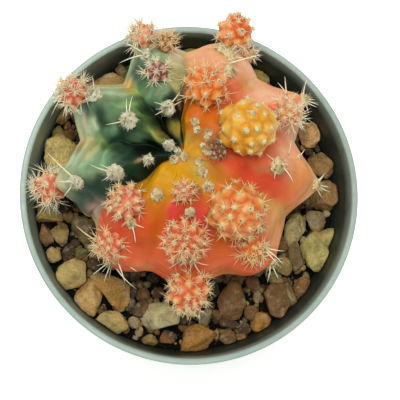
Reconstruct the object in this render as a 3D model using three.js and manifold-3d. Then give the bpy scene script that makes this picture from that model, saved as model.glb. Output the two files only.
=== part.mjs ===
// Potted moon cactus: a squat globe with nine sharp ribs and a crowd of small offsets, standing in a
// round plastic pot that is filled with soil and topped with gravel.
// Millimetres, +Z up. The pot's base lies on Z = 0 with its centre at the origin.
import * as THREE from 'three';
import { mergeVertices } from 'three/addons/utils/BufferGeometryUtils.js';
import Module from 'manifold-3d';

const wasm = await Module();
wasm.setup();

// Pot
const POT_HEIGHT = 75;
const POT_TOP_RADIUS = 42.5;
const POT_BASE_RADIUS = 32.5;
const POT_WALL = 1.5;
const POT_FLOOR = 2;
const RIM_BAND_HEIGHT = 9;
const RIM_BAND_STEP = 0.9;
const DRAIN_HOLES = 6;
const DRAIN_HOLE_RADIUS = 3;
const DRAIN_RING_RADIUS = 19;
const POT_SIDES = 48;

// Filling
const GAP = 0.3;
const SLIVER = 0.03;
const SOIL_TOP = 59.5;
const GRAVEL_BED = 1.8;
const STONE_SINK = 0.75;

// Plant: the stem's axis stands off the pot's centre, and its crown leans a little from that axis
const STEM_AXIS = new THREE.Vector2(-3.4, 6.8);
const CROWN_LEAN = new THREE.Vector2(-1.2, 0.2);
const EQUATOR_HEIGHT = 82;
const CROWN_RISE = 20.5;
const BASE_DROP = 23;
const CROWN_DIMPLE = 3;
const BASE_POLAR = 150;
const ROOT_RADIUS = 12;
const ROOT_BOTTOM = 50;
const OUTLINE_POWER = 0.95;
const FURROW_POWER = 0.75;
const RIDGE_ROUNDING = 0.22;
const CHIN = 0.6;
const AREOLE_STEP = 24.5;
const CROWN_KNOB_POLAR = 8;
const COLUMNS_PER_RIB = 6;
const STEM_ROWS = 24;

// Spines are thin needles with their roots sunk in the flesh
const SPINE_RADIUS = 0.26;
const SPINE_SINK = 0.9;
const SPINE_CLEARANCE = 0.8;
const STEM_SPINES_PER_AREOLE = 5;
const TUBERCLE_RELIEF = 0.1;

// Each rib: its direction about the stem's axis in degrees, how far its edge reaches from the axis, how
// far the furrow after it lies from the axis, and the polar angle of its first woolly areole
const RIBS = [
  { azimuth: 27.8, reach: 35.0, furrow: 27.8, firstAreole: 26 },
  { azimuth: 67.5, reach: 32.0, furrow: 26.8, firstAreole: 27 },
  { azimuth: 104.2, reach: 32.4, furrow: 23.3, firstAreole: 22 },
  { azimuth: 146.6, reach: 32.0, furrow: 24.8, firstAreole: 25 },
  { azimuth: 191.0, reach: 31.8, furrow: 24.4, firstAreole: 29 },
  { azimuth: 231.3, reach: 30.0, furrow: 27.4, firstAreole: 24 },
  { azimuth: 273.2, reach: 30.2, furrow: 29.4, firstAreole: 20 },
  { azimuth: 312.9, reach: 33.4, furrow: 29.2, firstAreole: 29 },
  { azimuth: 354.7, reach: 34.2, furrow: 28.9, firstAreole: 17 },
];

// Each offset: the rib that bears it, how far to the side of the rib's edge it sits (-1 and 1 are the
// furrows), its polar angle from the crown, its radius, how far its centre stands above the stem as a
// share of that radius, its tubercles around and from pole to pole, its spines' length, and the share
// of its tubercles that carry a spine
const OFFSETS = [
  {
    name: 'offset_golden', rib: 0, side: -0.1, polar: 24, radius: 6.6, stand: 0.72,
    around: 7, rows: 7, spine: 1.4, share: 0.3, colour: '#e5a021',
  },
  {
    name: 'offset_amber', rib: 7, side: -0.1, polar: 30, radius: 6.4, stand: 0.62,
    around: 7, rows: 7, spine: 2.4, share: 0.45, colour: '#e8792c',
  },
  {
    name: 'offset_amber_low', rib: 7, side: -0.3, polar: 53, radius: 3.1, stand: 0.55,
    around: 5, rows: 5, spine: 2.6, share: 0.7, colour: '#e5713a',
  },
  {
    name: 'offset_apricot', rib: 1, side: 0.1, polar: 27, radius: 4.8, stand: 0.65,
    around: 6, rows: 6, spine: 3.0, share: 0.7, colour: '#e9752f',
  },
  {
    name: 'offset_coral_upper', rib: 6, side: -0.1, polar: 40, radius: 4.6, stand: 0.65,
    around: 6, rows: 7, spine: 3.0, share: 0.7, colour: '#e4683f',
  },
  {
    name: 'offset_coral_lower', rib: 6, side: 0, polar: 70, radius: 4.8, stand: 0.8,
    around: 6, rows: 7, spine: 3.2, share: 0.7, colour: '#e4603c',
  },
  {
    name: 'offset_tall_orange', rib: 1, side: 0, polar: 72, radius: 4.2, stand: 1.02,
    around: 6, rows: 7, spine: 1.8, share: 0.45, colour: '#e86a35',
  },
  {
    name: 'offset_small_orange', rib: 1, side: -0.4, polar: 84, radius: 2.2, stand: 0.7,
    around: 4, rows: 5, spine: 3.0, share: 0.8, colour: '#e58a4c',
  },
  {
    name: 'offset_rose', rib: 5, side: -0.3, polar: 34, radius: 4.2, stand: 0.6,
    around: 6, rows: 6, spine: 2.8, share: 0.8, colour: '#df6a55',
  },
  {
    name: 'offset_rose_small', rib: 5, side: 0, polar: 62, radius: 3.2, stand: 0.6,
    around: 5, rows: 5, spine: 3.4, share: 0.8, colour: '#e07a64',
  },
  {
    name: 'offset_red_top', rib: 2, side: 0.1, polar: 68, radius: 3.1, stand: 0.75,
    around: 5, rows: 5, spine: 3.2, share: 0.8, colour: '#c9553f',
  },
  {
    name: 'offset_tan_top', rib: 2, side: -0.3, polar: 58, radius: 2.2, stand: 0.7,
    around: 4, rows: 5, spine: 3.0, share: 0.8, colour: '#cf8153',
  },
  {
    name: 'offset_purple', rib: 2, side: 0.1, polar: 37, radius: 2.7, stand: 0.7,
    around: 5, rows: 5, spine: 2.2, share: 0.6, colour: '#8c4a48',
  },
  {
    name: 'offset_red_left', rib: 3, side: 0.1, polar: 66, radius: 3.6, stand: 0.8,
    around: 5, rows: 6, spine: 3.0, share: 0.8, colour: '#c8564a',
  },
  {
    name: 'offset_red_low_left', rib: 4, side: 0, polar: 100, radius: 3.9, stand: 0.75,
    around: 5, rows: 6, spine: 3.2, share: 0.9, colour: '#cf5f52',
  },
  {
    name: 'offset_salmon_right', rib: 0, side: -0.2, polar: 52, radius: 3.3, stand: 0.6,
    around: 5, rows: 5, spine: 3.2, share: 0.9, colour: '#e0805c',
  },
  {
    name: 'offset_pink_centre', rib: 6, side: -0.1, polar: 18, radius: 2.3, stand: 0.65,
    around: 4, rows: 5, spine: 2.6, share: 0.8, colour: '#db7a6a',
  },
  {
    name: 'offset_brown_centre', rib: 8, side: 0.3, polar: 13, radius: 1.9, stand: 0.6,
    around: 4, rows: 5, spine: 2.0, share: 0.8, colour: '#9a5a45',
  },
];

// The larger stones of the gravel: direction and distance from the pot's axis, length, width, and how
// far the long side is turned from +X
const LARGE_STONES = [
  { azimuth: 161, out: 34.0, long: 10.0, wide: 9.4, turn: 30 },
  { azimuth: 124, out: 35.0, long: 9.2, wide: 5.0, turn: 20 },
  { azimuth: 145, out: 36.0, long: 5.4, wide: 5.0, turn: 0 },
  { azimuth: 87, out: 36.6, long: 7.4, wide: 4.4, turn: 5 },
  { azimuth: 58, out: 36.5, long: 5.0, wide: 4.2, turn: 80 },
  { azimuth: 45, out: 36.0, long: 5.6, wide: 5.0, turn: 120 },
  { azimuth: 29, out: 36.0, long: 6.6, wide: 6.0, turn: 20 },
  { azimuth: 16, out: 35.4, long: 7.4, wide: 6.4, turn: 10 },
  { azimuth: 1, out: 35.0, long: 8.4, wide: 7.6, turn: 100 },
  { azimuth: 346, out: 29.6, long: 8.4, wide: 6.6, turn: 100 },
  { azimuth: 353, out: 33.8, long: 6.6, wide: 4.8, turn: 150 },
  { azimuth: 337, out: 34.2, long: 10.6, wide: 8.0, turn: 110 },
  { azimuth: 333, out: 30.0, long: 7.4, wide: 4.2, turn: 105 },
  { azimuth: 324, out: 36.4, long: 5.4, wide: 4.6, turn: 60 },
  { azimuth: 313, out: 33.6, long: 9.8, wide: 7.0, turn: 80 },
  { azimuth: 294, out: 29.0, long: 11.4, wide: 8.4, turn: 100 },
  { azimuth: 301, out: 36.2, long: 5.6, wide: 5.2, turn: 40 },
  { azimuth: 286, out: 36.4, long: 5.0, wide: 3.8, turn: 10 },
  { azimuth: 275, out: 34.6, long: 9.2, wide: 7.0, turn: 0 },
  { azimuth: 257, out: 32.0, long: 9.4, wide: 7.4, turn: 40 },
  { azimuth: 241, out: 35.6, long: 8.8, wide: 5.8, turn: 165 },
  { azimuth: 226, out: 35.0, long: 9.0, wide: 6.0, turn: 75 },
  { azimuth: 231, out: 29.0, long: 10.4, wide: 6.8, turn: 130 },
  { azimuth: 214, out: 34.6, long: 7.8, wide: 7.0, turn: 20 },
  { azimuth: 193, out: 27.0, long: 7.0, wide: 6.2, turn: 110 },
  { azimuth: 188, out: 34.4, long: 7.6, wide: 4.6, turn: 170 },
  { azimuth: 196, out: 33.4, long: 5.2, wide: 4.6, turn: 90 },
];
const SMALL_STONES = 50;
const SMALL_STONE_LENGTHS = [3.4, 6.0];
const OPEN_GRAVEL_FROM_STEM = 27;
const ROUND_STONE_LENGTH = 8.4;

const degrees = THREE.MathUtils.degToRad;
const { lerp } = THREE.MathUtils;

// A repeatable stream of numbers between 0 and 1
function seededRandom(seed) {
  let state = seed;
  return () => {
    state = (state + 0x6d2b79f5) | 0;
    let mixed = Math.imul(state ^ (state >>> 15), 1 | state);
    mixed = (mixed + Math.imul(mixed ^ (mixed >>> 7), 61 | mixed)) ^ mixed;
    return ((mixed ^ (mixed >>> 14)) >>> 0) / 4294967296;
  };
}

// Solids for joining and cutting
function solidFromTriangles(points, triangles) {
  const vertProperties = new Float32Array(points.flatMap((point) => [point.x, point.y, point.z]));
  const triVerts = new Uint32Array(triangles.flat());
  return new wasm.Manifold(new wasm.Mesh({ numProp: 3, vertProperties, triVerts }));
}

function solidFromGeometry(geometry) {
  const bare = geometry.clone();
  bare.deleteAttribute('normal');
  bare.deleteAttribute('uv');
  const merged = mergeVertices(bare, 1e-4);
  return new wasm.Manifold(new wasm.Mesh({
    numProp: 3,
    vertProperties: new Float32Array(merged.attributes.position.array),
    triVerts: new Uint32Array(merged.index.array),
  }));
}

function meshFromSolid(name, solid, material) {
  const { vertProperties, triVerts, numProp } = solid.getMesh();
  const positions = new Float32Array((vertProperties.length / numProp) * 3);
  for (let i = 0; i < positions.length / 3; i += 1) {
    positions.set(vertProperties.subarray(i * numProp, i * numProp + 3), i * 3);
  }
  const geometry = new THREE.BufferGeometry();
  geometry.setAttribute('position', new THREE.BufferAttribute(positions, 3));
  geometry.setIndex(new THREE.BufferAttribute(new Uint32Array(triVerts), 1));
  geometry.computeVertexNormals();
  const mesh = new THREE.Mesh(geometry, material);
  mesh.name = name;
  return mesh;
}

// A profile of [radius, height] pairs turned about an upright axis. It starts and ends on the axis.
function turned(profile, sides, centre = new THREE.Vector2(0, 0)) {
  const outline = profile.map(([radius, height]) => new THREE.Vector2(radius, height));
  const lathe = new THREE.LatheGeometry(outline, sides);
  lathe.rotateX(Math.PI / 2);
  lathe.translate(centre.x, centre.y, 0);
  return solidFromGeometry(lathe);
}

// The largest single piece of a solid, without loose scraps or slivers that a cut left
function largestPiece(solid) {
  const pieces = solid.simplify(SLIVER).decompose();
  return pieces.reduce((best, piece) => (piece.volume() > best.volume() ? piece : best));
}

// Pot
const innerTopRadius = POT_TOP_RADIUS - POT_WALL - 0.1;
const innerFloorRadius = POT_BASE_RADIUS - POT_WALL - 1;
const wallShare = (height) => (height - POT_FLOOR) / (POT_HEIGHT - POT_FLOOR);
const innerRadius = (height) => lerp(innerFloorRadius, innerTopRadius, wallShare(height));
const fillRadius = (height) => innerRadius(height) - GAP;

function potSolid() {
  const band = POT_HEIGHT - RIM_BAND_HEIGHT;
  const bandRadius = POT_TOP_RADIUS - 0.4;
  const wallUnderBand = bandRadius - RIM_BAND_STEP;
  const wall = turned([
    [0, 0],
    [POT_BASE_RADIUS - 1.8, 0],
    [POT_BASE_RADIUS - 0.9, 0.9],
    [wallUnderBand, band],
    [bandRadius, band + 0.5],
    [POT_TOP_RADIUS, POT_HEIGHT - 0.5],
    [POT_TOP_RADIUS - 0.3, POT_HEIGHT],
    [innerTopRadius + 0.3, POT_HEIGHT],
    [innerRadius(POT_HEIGHT - 0.4), POT_HEIGHT - 0.4],
    [innerFloorRadius, POT_FLOOR],
    [0, POT_FLOOR],
  ], POT_SIDES);
  const drains = Array.from({ length: DRAIN_HOLES }, (_, index) => {
    const angle = (index * 2 * Math.PI) / DRAIN_HOLES;
    const centre = new THREE.Vector2(Math.cos(angle), Math.sin(angle)).multiplyScalar(DRAIN_RING_RADIUS);
    const drill = [[0, -1], [DRAIN_HOLE_RADIUS, -1], [DRAIN_HOLE_RADIUS, POT_FLOOR + 1], [0, POT_FLOOR + 1]];
    return turned(drill, 12, centre);
  });
  return wall.subtract(wasm.Manifold.union(drains));
}

// Soil, with a plain round hole for the plant's root
function soilSolid() {
  const block = turned([
    [0, POT_FLOOR + GAP],
    [fillRadius(POT_FLOOR), POT_FLOOR + GAP],
    [fillRadius(SOIL_TOP), SOIL_TOP],
    [0, SOIL_TOP],
  ], POT_SIDES);
  const hole = turned([
    [0, ROOT_BOTTOM - GAP],
    [ROOT_RADIUS + GAP, ROOT_BOTTOM - GAP],
    [ROOT_RADIUS + GAP, SOIL_TOP + 1],
    [0, SOIL_TOP + 1],
  ], 24, STEM_AXIS);
  return block.subtract(hole);
}

// Gravel: a thin bed of crumbs with stones standing out of it, hollowed where the plant sits
function stoneSolid(length, width, height, turn, x, y, random) {
  const facets = new THREE.IcosahedronGeometry(0.5, length > ROUND_STONE_LENGTH ? 1 : 0);
  const stone = mergeVertices(facets.deleteAttribute('normal').deleteAttribute('uv'), 1e-4);
  const position = stone.attributes.position;
  for (let i = 0; i < position.count; i += 1) {
    const swell = 0.86 + 0.26 * random();
    position.setXYZ(i, position.getX(i) * swell, position.getY(i) * swell, position.getZ(i) * swell);
  }
  stone.scale(length, width, height);
  stone.rotateX((random() - 0.5) * 0.5);
  stone.rotateZ(degrees(turn));
  stone.translate(x, y, SOIL_TOP + GAP + GRAVEL_BED + (STONE_SINK * height) / 2);
  return solidFromGeometry(stone);
}

function gravelSolid() {
  const random = seededRandom(12);
  const bedBottom = SOIL_TOP + GAP;
  const stones = [];
  const laid = [];
  for (const { azimuth, out, long, wide, turn } of LARGE_STONES) {
    const x = out * Math.cos(degrees(azimuth));
    const y = out * Math.sin(degrees(azimuth));
    stones.push(stoneSolid(long, wide, 0.85 * wide, turn, x, y, random));
    laid.push({ x, y, radius: (long + wide) / 4 });
  }
  for (let tries = 0; laid.length < LARGE_STONES.length + SMALL_STONES && tries < 4000; tries += 1) {
    const long = lerp(...SMALL_STONE_LENGTHS, random());
    const wide = long * (0.7 + 0.25 * random());
    const out = (fillRadius(SOIL_TOP) - wide / 2) * Math.sqrt(random());
    const azimuth = 2 * Math.PI * random();
    const x = out * Math.cos(azimuth);
    const y = out * Math.sin(azimuth);
    const radius = (long + wide) / 4;
    const crowded = laid.some((other) => Math.hypot(other.x - x, other.y - y) < 0.86 * (other.radius + radius));
    const hidden = Math.hypot(x - STEM_AXIS.x, y - STEM_AXIS.y) < OPEN_GRAVEL_FROM_STEM;
    if (!crowded && !hidden) {
      stones.push(stoneSolid(long, wide, 0.8 * wide, 360 * random(), x, y, random));
      laid.push({ x, y, radius });
    }
  }
  const bed = turned([
    [0, bedBottom],
    [fillRadius(bedBottom), bedBottom],
    [fillRadius(bedBottom + GRAVEL_BED), bedBottom + GRAVEL_BED],
    [0, bedBottom + GRAVEL_BED],
  ], POT_SIDES);
  const room = turned([
    [0, bedBottom],
    [fillRadius(bedBottom), bedBottom],
    [fillRadius(POT_HEIGHT), POT_HEIGHT],
    [0, POT_HEIGHT],
  ], POT_SIDES);
  return largestPiece(bed.add(wasm.Manifold.union(stones)).intersect(room).subtract(plantHollow()));
}

// The room that the underside of the plant needs in the gravel, turned about the stem's axis
function plantHollow() {
  const widest = Math.max(...RIBS.map((rib) => rib.reach)) + CHIN;
  const underside = [BASE_POLAR, 143, 136, 128, 118, 105].map((polar) => [
    widest * Math.sin(degrees(polar)) ** OUTLINE_POWER + 2 * GAP,
    EQUATOR_HEIGHT + BASE_DROP * Math.cos(degrees(polar)) - 2 * GAP,
  ]);
  const neck = ROOT_RADIUS + GAP;
  const profile = [[0, SOIL_TOP - 1], [neck, SOIL_TOP - 1], [neck, underside[0][1] - 1], ...underside];
  return turned([...profile, [0, underside.at(-1)[1]]], 30, STEM_AXIS);
}

// Stem. A rib's edge runs over an oval outline from the crown to the base, and each furrow lies under
// that outline by a depth that shrinks with it. A flank is straight from edge to furrow, so that the
// section is a nine-pointed star, and the edge itself is rounded over.
function outlineCentre(polar) {
  const lean = Math.max(Math.cos(polar), 0);
  return new THREE.Vector2().copy(CROWN_LEAN).multiplyScalar(lean).add(STEM_AXIS);
}

function outlineHeight(polar) {
  const half = polar < Math.PI / 2 ? CROWN_RISE : BASE_DROP;
  return EQUATOR_HEIGHT + half * Math.cos(polar) - CROWN_DIMPLE * Math.exp(-((polar / 0.28) ** 2));
}

function outlinePoint(azimuth, reach, polar, push) {
  const half = polar < Math.PI / 2 ? CROWN_RISE : BASE_DROP;
  const normal = new THREE.Vector2(Math.sin(polar) / reach, Math.cos(polar) / half).normalize();
  const radius = reach * Math.sin(polar) ** OUTLINE_POWER + push * normal.x;
  const centre = outlineCentre(polar);
  return new THREE.Vector3(
    centre.x + radius * Math.cos(azimuth),
    centre.y + radius * Math.sin(azimuth),
    outlineHeight(polar) + push * normal.y,
  );
}

function edgePoint(index, polar) {
  const rib = RIBS[index % RIBS.length];
  const wave = Math.cos((2 * Math.PI * (THREE.MathUtils.radToDeg(polar) - rib.firstAreole)) / AREOLE_STEP);
  return outlinePoint(degrees(rib.azimuth), rib.reach, polar, CHIN * wave * Math.sin(polar));
}

function furrowPoint(index, polar) {
  const rib = RIBS[index % RIBS.length];
  const next = RIBS[(index + 1) % RIBS.length];
  const turn = (next.azimuth - rib.azimuth + 360) % 360;
  const reach = (rib.reach + next.reach) / 2;
  const depth = (reach - rib.furrow) * Math.sin(polar) ** FURROW_POWER;
  return outlinePoint(degrees(rib.azimuth + turn / 2), reach, polar, -depth);
}

function flankShare(side) {
  if (side < -RIDGE_ROUNDING) {
    return 0;
  }
  return side > RIDGE_ROUNDING ? side : (side + RIDGE_ROUNDING) ** 2 / (4 * RIDGE_ROUNDING);
}

function stemPoint(index, side, polar) {
  const edge = edgePoint(index, polar);
  const after = furrowPoint(index, polar).sub(edge).multiplyScalar(flankShare(side));
  const before = furrowPoint(index + RIBS.length - 1, polar).sub(edge).multiplyScalar(flankShare(-side));
  return edge.add(after).add(before);
}

function stemNormal(index, side, polar) {
  const step = 0.01;
  const along = stemPoint(index, side, polar + step).sub(stemPoint(index, side, polar - step));
  const ahead = stemPoint(index, Math.min(side + step, 1), polar);
  const across = ahead.sub(stemPoint(index, Math.max(side - step, -1), polar));
  return along.cross(across).normalize();
}

// The stem's skin as rings of points from crown to root, moved outwards by grow
function stemRings(grow) {
  const rings = [];
  for (let row = 1; row <= STEM_ROWS; row += 1) {
    const polar = (degrees(BASE_POLAR) * row) / STEM_ROWS;
    const ring = [];
    for (let index = 0; index < RIBS.length; index += 1) {
      for (let column = 0; column < COLUMNS_PER_RIB; column += 1) {
        const side = (2 * column) / COLUMNS_PER_RIB - 1;
        const point = stemPoint(index, side, polar);
        ring.push(grow > 0 ? point.addScaledVector(stemNormal(index, side, polar), grow) : point);
      }
    }
    rings.push(ring);
  }
  for (const height of [outlineHeight(degrees(BASE_POLAR)) - 1.4, ROOT_BOTTOM]) {
    rings.push(rings[STEM_ROWS - 1].map((above) => {
      const outward = new THREE.Vector2(above.x, above.y).sub(STEM_AXIS).setLength(ROOT_RADIUS);
      return new THREE.Vector3(STEM_AXIS.x + outward.x, STEM_AXIS.y + outward.y, height);
    }));
  }
  return rings;
}

// The four corners between two rings in outward order, started one corner on to turn the diagonal
function quadCorners(place, ring, column, shifted) {
  const corners = [
    place(ring, column),
    place(ring + 1, column),
    place(ring + 1, column + 1),
    place(ring, column + 1),
  ];
  return shifted ? [corners[1], corners[2], corners[3], corners[0]] : corners;
}

// A closed skin over rings of equal length between two poles, its faces turned outwards
function closedSkin(top, rings, bottom) {
  const around = rings[0].length;
  const points = [top, ...rings.flat(), bottom];
  const triangles = [];
  const place = (ring, column) => 1 + ring * around + (column % around);
  for (let column = 0; column < around; column += 1) {
    triangles.push([0, place(0, column), place(0, column + 1)]);
    triangles.push([points.length - 1, place(rings.length - 1, column + 1), place(rings.length - 1, column)]);
    for (let ring = 0; ring + 1 < rings.length; ring += 1) {
      const [a, b, c, d] = quadCorners(place, ring, column, (ring + column) % 2 === 1);
      triangles.push([a, b, c], [a, c, d]);
    }
  }
  return solidFromTriangles(points, triangles);
}

function stemSkin(grow) {
  const centre = outlineCentre(0);
  const crown = new THREE.Vector3(centre.x, centre.y, outlineHeight(0) + grow);
  const root = new THREE.Vector3(STEM_AXIS.x, STEM_AXIS.y, ROOT_BOTTOM);
  return closedSkin(crown, stemRings(grow), root);
}

// Spines: one three-sided needle each. A needle that would cross another piece is left out.
const standingSpines = [];
const samplePlaces = [0.35, 0.6, 0.8, 1];
const offsetSeats = OFFSETS.map((offset) => {
  const polar = degrees(offset.polar);
  const axis = stemNormal(offset.rib, offset.side, polar);
  const centre = stemPoint(offset.rib, offset.side, polar).addScaledVector(axis, offset.stand * offset.radius);
  return { ...offset, axis, centre };
});
const stemSamples = stemRings(0).flat();
const stemHeart = new THREE.Vector3(STEM_AXIS.x, STEM_AXIS.y, EQUATOR_HEIGHT);

function spineSamples(from, to) {
  return samplePlaces.map((share) => from.clone().lerp(to, share));
}

function nearStem(point) {
  const nearest = stemSamples.reduce((best, sample) => (
    sample.distanceToSquared(point) < best.distanceToSquared(point) ? sample : best));
  const outward = nearest.clone().sub(stemHeart).normalize();
  return point.clone().sub(nearest).dot(outward) < SPINE_CLEARANCE;
}

function spineIsClear(owner, from, to) {
  const samples = spineSamples(from, to);
  const hitsOffset = offsetSeats.some((seat) => seat.name !== owner
    && samples.some((sample) => sample.distanceTo(seat.centre) < 1.16 * seat.radius + SPINE_CLEARANCE));
  const hitsSpine = standingSpines.some((other) => other.owner !== owner
    && samples.some((sample) => other.samples.some((point) => sample.distanceTo(point) < 1.1)));
  const hitsPot = samples.some((sample) => sample.z < POT_HEIGHT + 1 && Math.hypot(sample.x, sample.y) > 36);
  const hitsGravel = samples.some((sample) => sample.z < 70);
  const hitsStem = owner !== 'stem' && samples.some(nearStem);
  return !(hitsOffset || hitsSpine || hitsPot || hitsGravel || hitsStem);
}

function needle(from, to, radius) {
  const along = to.clone().sub(from).normalize();
  const aside = Math.abs(along.z) < 0.9 ? new THREE.Vector3(0, 0, 1) : new THREE.Vector3(1, 0, 0);
  const across = aside.cross(along).normalize();
  const corners = [0, 1, 2].map((corner) => across.clone()
    .applyAxisAngle(along, (corner * 2 * Math.PI) / 3)
    .multiplyScalar(radius)
    .add(from));
  return solidFromTriangles([...corners, to], [[0, 2, 1], [0, 1, 3], [1, 2, 3], [2, 0, 3]]);
}

// Spines fan out from one root point, leaning from the axis by about the given angle
function spineFan({ owner, root, axis, count, length, lean, random }) {
  const aside = Math.abs(axis.z) < 0.9 ? new THREE.Vector3(0, 0, 1) : new THREE.Vector3(1, 0, 0);
  const across = aside.cross(axis).normalize();
  const start = 2 * Math.PI * random();
  const needles = [];
  for (let index = 0; index < count; index += 1) {
    const turn = start + ((index + 0.4 * random()) * 2 * Math.PI) / count;
    const tilt = lean * (0.75 + 0.4 * random());
    const direction = axis.clone().applyAxisAngle(across, tilt).applyAxisAngle(axis, turn);
    const from = root.clone().addScaledVector(direction, -SPINE_SINK);
    const to = root.clone().addScaledVector(direction, length * (0.75 + 0.5 * random()));
    if (spineIsClear(owner, root, to)) {
      standingSpines.push({ owner, samples: spineSamples(root, to) });
      needles.push(needle(from, to, SPINE_RADIUS));
    }
  }
  return needles;
}

// A woolly areole: a small knob, sunk by half in the rib's edge
function woolKnob(centre, axis, radius) {
  const knob = new THREE.OctahedronGeometry(radius, 0);
  knob.scale(1, 1, 0.8);
  knob.applyQuaternion(new THREE.Quaternion().setFromUnitVectors(new THREE.Vector3(0, 0, 1), axis));
  knob.translate(centre.x, centre.y, centre.z);
  return solidFromGeometry(knob);
}

function stemSolid() {
  const random = seededRandom(5);
  const growths = [];
  RIBS.forEach((rib, index) => {
    for (let polar = rib.firstAreole; polar < 118; polar += AREOLE_STEP) {
      const root = stemPoint(index, 0, degrees(polar));
      const taken = offsetSeats.some((seat) => seat.centre.distanceTo(root) < 1.16 * seat.radius + 1.6);
      if (!taken) {
        const axis = stemNormal(index, 0, degrees(polar));
        growths.push(woolKnob(root, axis, 1.5));
        const length = polar > 70 ? 7.5 : 4;
        const lean = polar > 70 ? 0.75 : 1.0;
        const count = STEM_SPINES_PER_AREOLE;
        growths.push(...spineFan({ owner: 'stem', root, axis, count, length, lean, random }));
      }
    }
    const crownPolar = degrees(CROWN_KNOB_POLAR + 3 * (index % 2));
    growths.push(woolKnob(stemPoint(index, 0, crownPolar), stemNormal(index, 0, crownPolar), 0.9));
  });
  return largestPiece(stemSkin(0).add(wasm.Manifold.union(growths)));
}

// Offset: a small globe whose tubercles alternate from row to row, each a four-sided peak with a spine
function offsetSolid(seat, cutter, random) {
  const { name, radius, around, rows, spine, share, axis, centre } = seat;
  const peak = (1 + TUBERCLE_RELIEF) * radius;
  const dip = (1 - TUBERCLE_RELIEF) * radius;
  const columns = 2 * around;
  const upright = new THREE.Quaternion().setFromUnitVectors(new THREE.Vector3(0, 0, 1), axis);
  const placed = (reach, polar, turn) => new THREE.Vector3()
    .setFromSphericalCoords(reach, polar, turn)
    .applyAxisAngle(new THREE.Vector3(1, 0, 0), Math.PI / 2)
    .applyQuaternion(upright)
    .add(centre);
  const points = [placed(peak, 0, 0)];
  const peaks = [points[0]];
  for (let row = 1; row <= rows; row += 1) {
    const polar = (Math.PI * row) / (rows + 1);
    for (let column = 0; column < columns; column += 1) {
      const high = (row + column) % 2 === 0;
      const point = placed(high ? peak : dip, polar, (2 * Math.PI * column) / columns);
      points.push(point);
      if (high) {
        peaks.push(point);
      }
    }
  }
  points.push(placed(dip, Math.PI, 0));
  const triangles = [];
  const place = (row, column) => 1 + (row - 1) * columns + (column % columns);
  for (let column = 0; column < columns; column += 1) {
    triangles.push([0, place(1, column), place(1, column + 1)]);
    triangles.push([points.length - 1, place(rows, column + 1), place(rows, column)]);
    for (let row = 1; row < rows; row += 1) {
      const [a, b, c, d] = quadCorners(place, row, column, (row + column) % 2 === 0);
      triangles.push([a, b, c], [a, c, d]);
    }
  }
  const needles = peaks.filter(() => random() < share).flatMap((root) => {
    const outward = root.clone().sub(centre).normalize();
    return spineFan({ owner: name, root, axis: outward, count: 1, length: spine, lean: 0.5, random });
  });
  const globe = solidFromTriangles(points, triangles);
  return largestPiece(globe.add(wasm.Manifold.union(needles)).subtract(cutter));
}

// Finishes
const finish = (color, roughness) => new THREE.MeshStandardMaterial({ color, roughness, metalness: 0 });

const pottedCactus = new THREE.Group();
pottedCactus.name = 'potted_moon_cactus';
pottedCactus.add(meshFromSolid('pot', potSolid(), finish('#9aa99d', 0.45)));
pottedCactus.add(meshFromSolid('soil', soilSolid(), finish('#2b2622', 0.95)));
pottedCactus.add(meshFromSolid('gravel', gravelSolid(), finish('#a5855a', 0.85)));
pottedCactus.add(meshFromSolid('stem', stemSolid(), finish('#dd7340', 0.5)));

const offsetRandom = seededRandom(23);
const seatCutter = stemSkin(GAP);
for (const seat of offsetSeats) {
  const solid = offsetSolid(seat, seatCutter, offsetRandom);
  pottedCactus.add(meshFromSolid(seat.name, solid, finish(seat.colour, 0.5)));
}

export default pottedCactus;
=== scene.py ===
# %% [markdown]
# # A potted moon cactus
# The plant is a squat globe with nine sharp ribs, part green and part orange, crowded with small daughter
# heads. It stands in gravel in a round plastic pot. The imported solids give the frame: every piece below
# is made in that frame, in the same place as the solid that it stands for, only finer.

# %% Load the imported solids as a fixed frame
import math

import bpy
import numpy as np
from mathutils import Matrix, Vector


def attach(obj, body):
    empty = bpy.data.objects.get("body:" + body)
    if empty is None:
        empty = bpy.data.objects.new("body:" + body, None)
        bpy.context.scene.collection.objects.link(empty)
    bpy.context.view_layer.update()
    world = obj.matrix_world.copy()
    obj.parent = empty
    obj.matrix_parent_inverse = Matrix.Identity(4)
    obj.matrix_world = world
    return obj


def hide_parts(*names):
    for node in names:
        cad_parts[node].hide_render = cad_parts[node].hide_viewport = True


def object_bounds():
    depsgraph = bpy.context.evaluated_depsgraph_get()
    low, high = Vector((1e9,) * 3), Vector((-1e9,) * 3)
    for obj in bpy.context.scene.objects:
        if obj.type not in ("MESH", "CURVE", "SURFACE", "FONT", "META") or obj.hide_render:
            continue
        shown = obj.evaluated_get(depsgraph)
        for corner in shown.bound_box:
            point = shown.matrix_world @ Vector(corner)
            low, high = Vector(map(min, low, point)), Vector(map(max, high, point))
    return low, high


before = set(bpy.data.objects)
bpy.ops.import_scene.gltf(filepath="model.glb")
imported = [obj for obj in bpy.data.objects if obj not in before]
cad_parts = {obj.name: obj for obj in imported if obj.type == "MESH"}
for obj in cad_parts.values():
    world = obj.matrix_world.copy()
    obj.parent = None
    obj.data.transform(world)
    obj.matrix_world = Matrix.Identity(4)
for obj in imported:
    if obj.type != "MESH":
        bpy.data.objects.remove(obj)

cad_low, cad_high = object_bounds()
print("solids reach from", tuple(cad_low), "to", tuple(cad_high))

# %% [markdown]
# ## Camera
# The pot is seen from above, about nine degrees off its axis and from its lower left. A long lens from
# 0.36 m above the rim keeps the rim nearly a circle. The camera's own axes are worked out here rather than
# tracked, because a view straight down leaves a tracking constraint with no clear upward direction.

# %% Camera
POT_HEIGHT = 0.075
VIEW_DISTANCE = 0.36
VIEW_TILT = math.radians(9.1)
VIEW_AZIMUTH = math.radians(225)
LENS_MM = 129.9

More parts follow.
